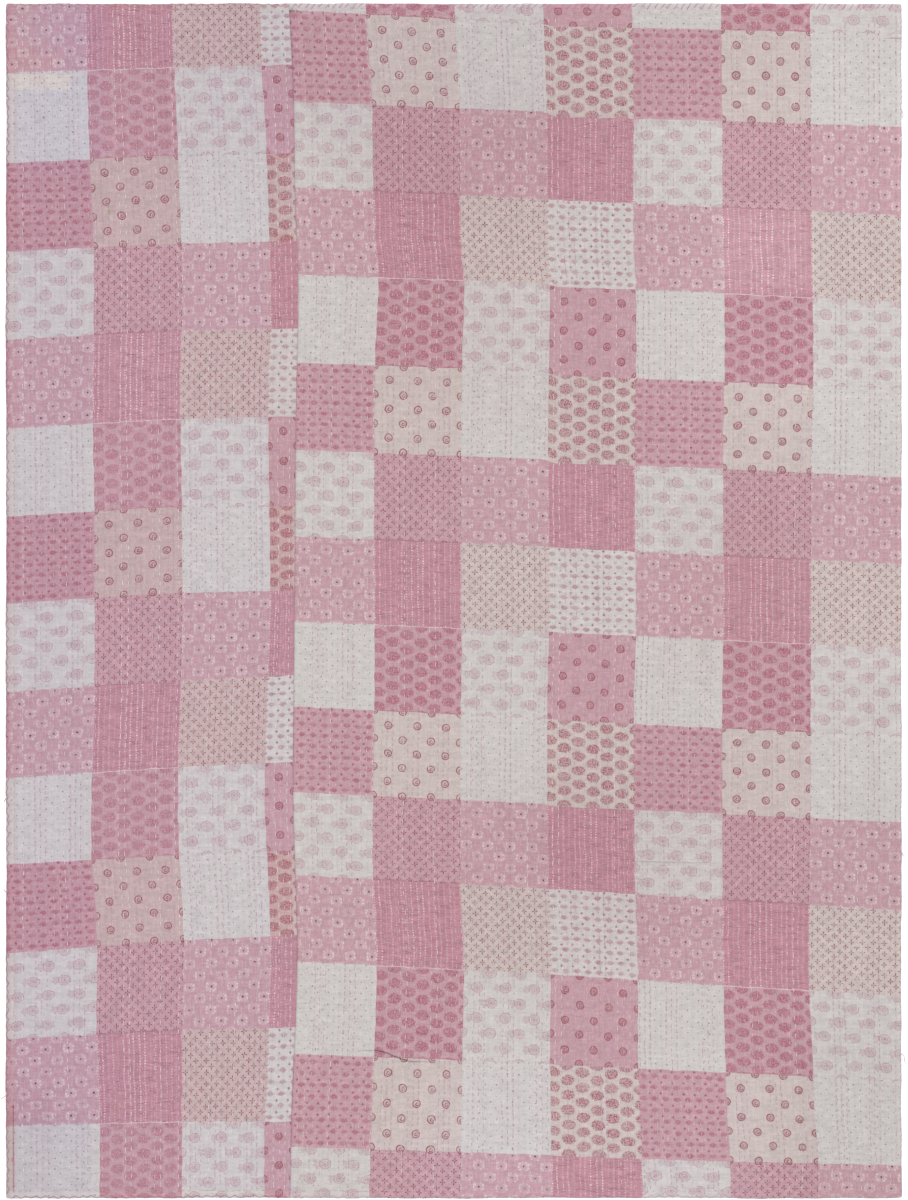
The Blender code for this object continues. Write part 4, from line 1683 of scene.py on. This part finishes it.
    def edge_path(self, rng: random.Random) -> np.ndarray:
        """The thread round the panel's turned edge, from seam to seam.

        Args:
            rng: draws where each stitch wraps the edge and how far in it reaches.

        Returns:
            The thread's points.
        """
        side = self.panel.lie.side
        half_x, half_y = THROW_WIDTH / 2, THROW_LENGTH / 2
        corner = CORNER_RADIUS + 0.004
        seam_top, seam_bottom = float(seam_x(np.array(half_y))), float(seam_x(np.array(-half_y)))
        runs = (
            ("end", 1, seam_top + side * 0.004, side * (half_x - corner)),
            ("side", side, half_y - corner, -half_y + corner),
            ("end", -1, side * (half_x - corner), seam_bottom + side * 0.004),
        )
        points = []
        for kind, sign, start, stop in runs:
            top = side > 0 and kind == "end" and sign > 0
            close = side > 0 and kind == "side"
            pitch = self.edge_pitch * (0.58 if close else 0.72 if top else 1.0)
            deepest = self.edge_reach * (0.55 if close else 1.75 if top else 1.0)
            count = int(abs(stop - start) / pitch)
            step = (stop - start) / count
            for n in range(count):
                wrap = start + step * (n + rng.uniform(*self.edge_wraps))
                reach = deepest * rng.uniform(*self.edge_reaches)
                for share, depth, height in SLANTED if close else DEEP_SLANT if top else ZIGZAG:
                    depth = depth if depth < OVER_EDGE else depth * reach
                    points.append(self.on_edge(kind, sign, wrap + share * step, depth, height * MM))
        return np.array(points)

    def on_edge(
        self, kind: str, sign: int, along: float, depth: float, height: float
    ) -> tuple[float, float, float]:
        """A point on the hem: along it, in from its edge, and up."""
        if kind == "side":
            outer = THROW_WIDTH / 2 - float(edge_inset(np.array(along), 1.0 + sign))
            return sign * (outer - depth), along, height
        outer = THROW_LENGTH / 2 - float(edge_inset(np.array(along), float(sign)))
        return along, sign * (outer - depth), height


@dataclass
class Studio:
    """A plain pale floor, soft light from above, and a camera that looks straight down."""

    camera_height: float = 4.6
    frame_length: float = 2.0062
    centre: tuple[float, float] = (0.0004, 0.0014)
    key_from: tuple[float, float, float] = (0.38, 0.48, 1.25)
    key_softness: float = 0.45
    key_power: float = 1.45
    sky: float = 0.78
    floor_reach: float = 4.0
    floor_drop: float = 0.0003
    sensor: float = 36.0

    def build(self) -> None:
        """Makes the floor, the light and the camera."""
        self.lay_floor()
        self.light()
        self.set_camera()

    def lay_floor(self) -> None:
        """A matt floor that lies just under the throw and glows a little."""
        mesh = bpy.data.meshes.new("studio_floor")
        floor_mesh = bmesh.new()
        bmesh.ops.create_grid(floor_mesh, x_segments=1, y_segments=1, size=self.floor_reach)
        for vertex in floor_mesh.verts:
            vertex.co.z = -self.floor_drop
        floor_mesh.to_mesh(mesh)
        floor_mesh.free()
        floor = bpy.data.objects.new("studio_floor", mesh)
        bpy.context.scene.collection.objects.link(floor)
        finish = bpy.data.materials.new("pale studio floor")
        finish.use_nodes = True
        shader = finish.node_tree.nodes["Principled BSDF"]
        for name, value in (
            ("Base Color", (0.93, 0.93, 0.93, 1.0)), ("Roughness", 1.0), ("Specular IOR Level", 0.0),
            ("Emission Color", (1.0, 1.0, 1.0, 1.0)), ("Emission Strength", 0.22),
        ):
            shader.inputs[name].default_value = value
        mesh.materials.append(finish)

    def light(self) -> None:
        """An even white sky and one soft lamp."""
        world = bpy.data.worlds.new("soft studio")
        world.use_nodes = True
        sky = world.node_tree.nodes["Background"]
        sky.inputs["Color"].default_value = (1.0, 1.0, 1.0, 1.0)
        sky.inputs["Strength"].default_value = self.sky
        bpy.context.scene.world = world
        lamp = bpy.data.lights.new("window light", "SUN")
        lamp.angle, lamp.energy, lamp.color = self.key_softness, self.key_power, (1.0, 0.99, 0.975)
        key = bpy.data.objects.new("window light", lamp)
        key.rotation_euler = (Vector(self.key_from) * -1).to_track_quat("-Z", "Y").to_euler()
        bpy.context.scene.collection.objects.link(key)

    def set_camera(self) -> None:
        """A camera straight above, framed on the throw's length."""
        scene = bpy.context.scene
        lens = bpy.data.cameras.new("overhead camera")
        lens.sensor_width = self.sensor
        lens.lens = self.sensor * self.camera_height / self.frame_length
        camera = bpy.data.objects.new("overhead camera", lens)
        camera.location = (*self.centre, self.camera_height + 0.003)
        scene.collection.objects.link(camera)
        scene.camera = camera
        scene.view_settings.view_transform = "Standard"


def plain_backing() -> bpy.types.Material:
    """The plain cotton of the underside."""
    made, w, shader = new_material("plain cotton backing")
    fleck = w.noise(w.body(), 300.0, 3.0)
    w.feed(shader, "Base Color", w.mix(w.ramp(fleck, 0.3, 0.7), dyed(196, 186, 184), dyed(206, 198, 196)))
    return made


def main() -> None:
    """Builds the throw, then its studio, and reports each piece."""
    logging.basicConfig(level=logging.INFO, format="%(name)s: %(message)s")
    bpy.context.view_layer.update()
    room = PrintRoom()
    finishes = [square.material(room) for line in REPEAT for square in line]
    backing = plain_backing()
    for panel in (
        SewnPanel("quilted_panel_left", "left_panel", LEFT, (0.49, 2.02)),
        SewnPanel("quilted_panel_right", "right_panel", RIGHT, (1.03, 2.02)),
    ):
        piece = panel.build()
        panel.dress([*finishes, backing])
        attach(piece, "root")
        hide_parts(panel.node)
        stitches = Quilting(panel).build()
        LOG.info("%s: %d faces", piece.name, len(piece.data.polygons))
    Studio().build()


if __name__ == "__main__":
    main()
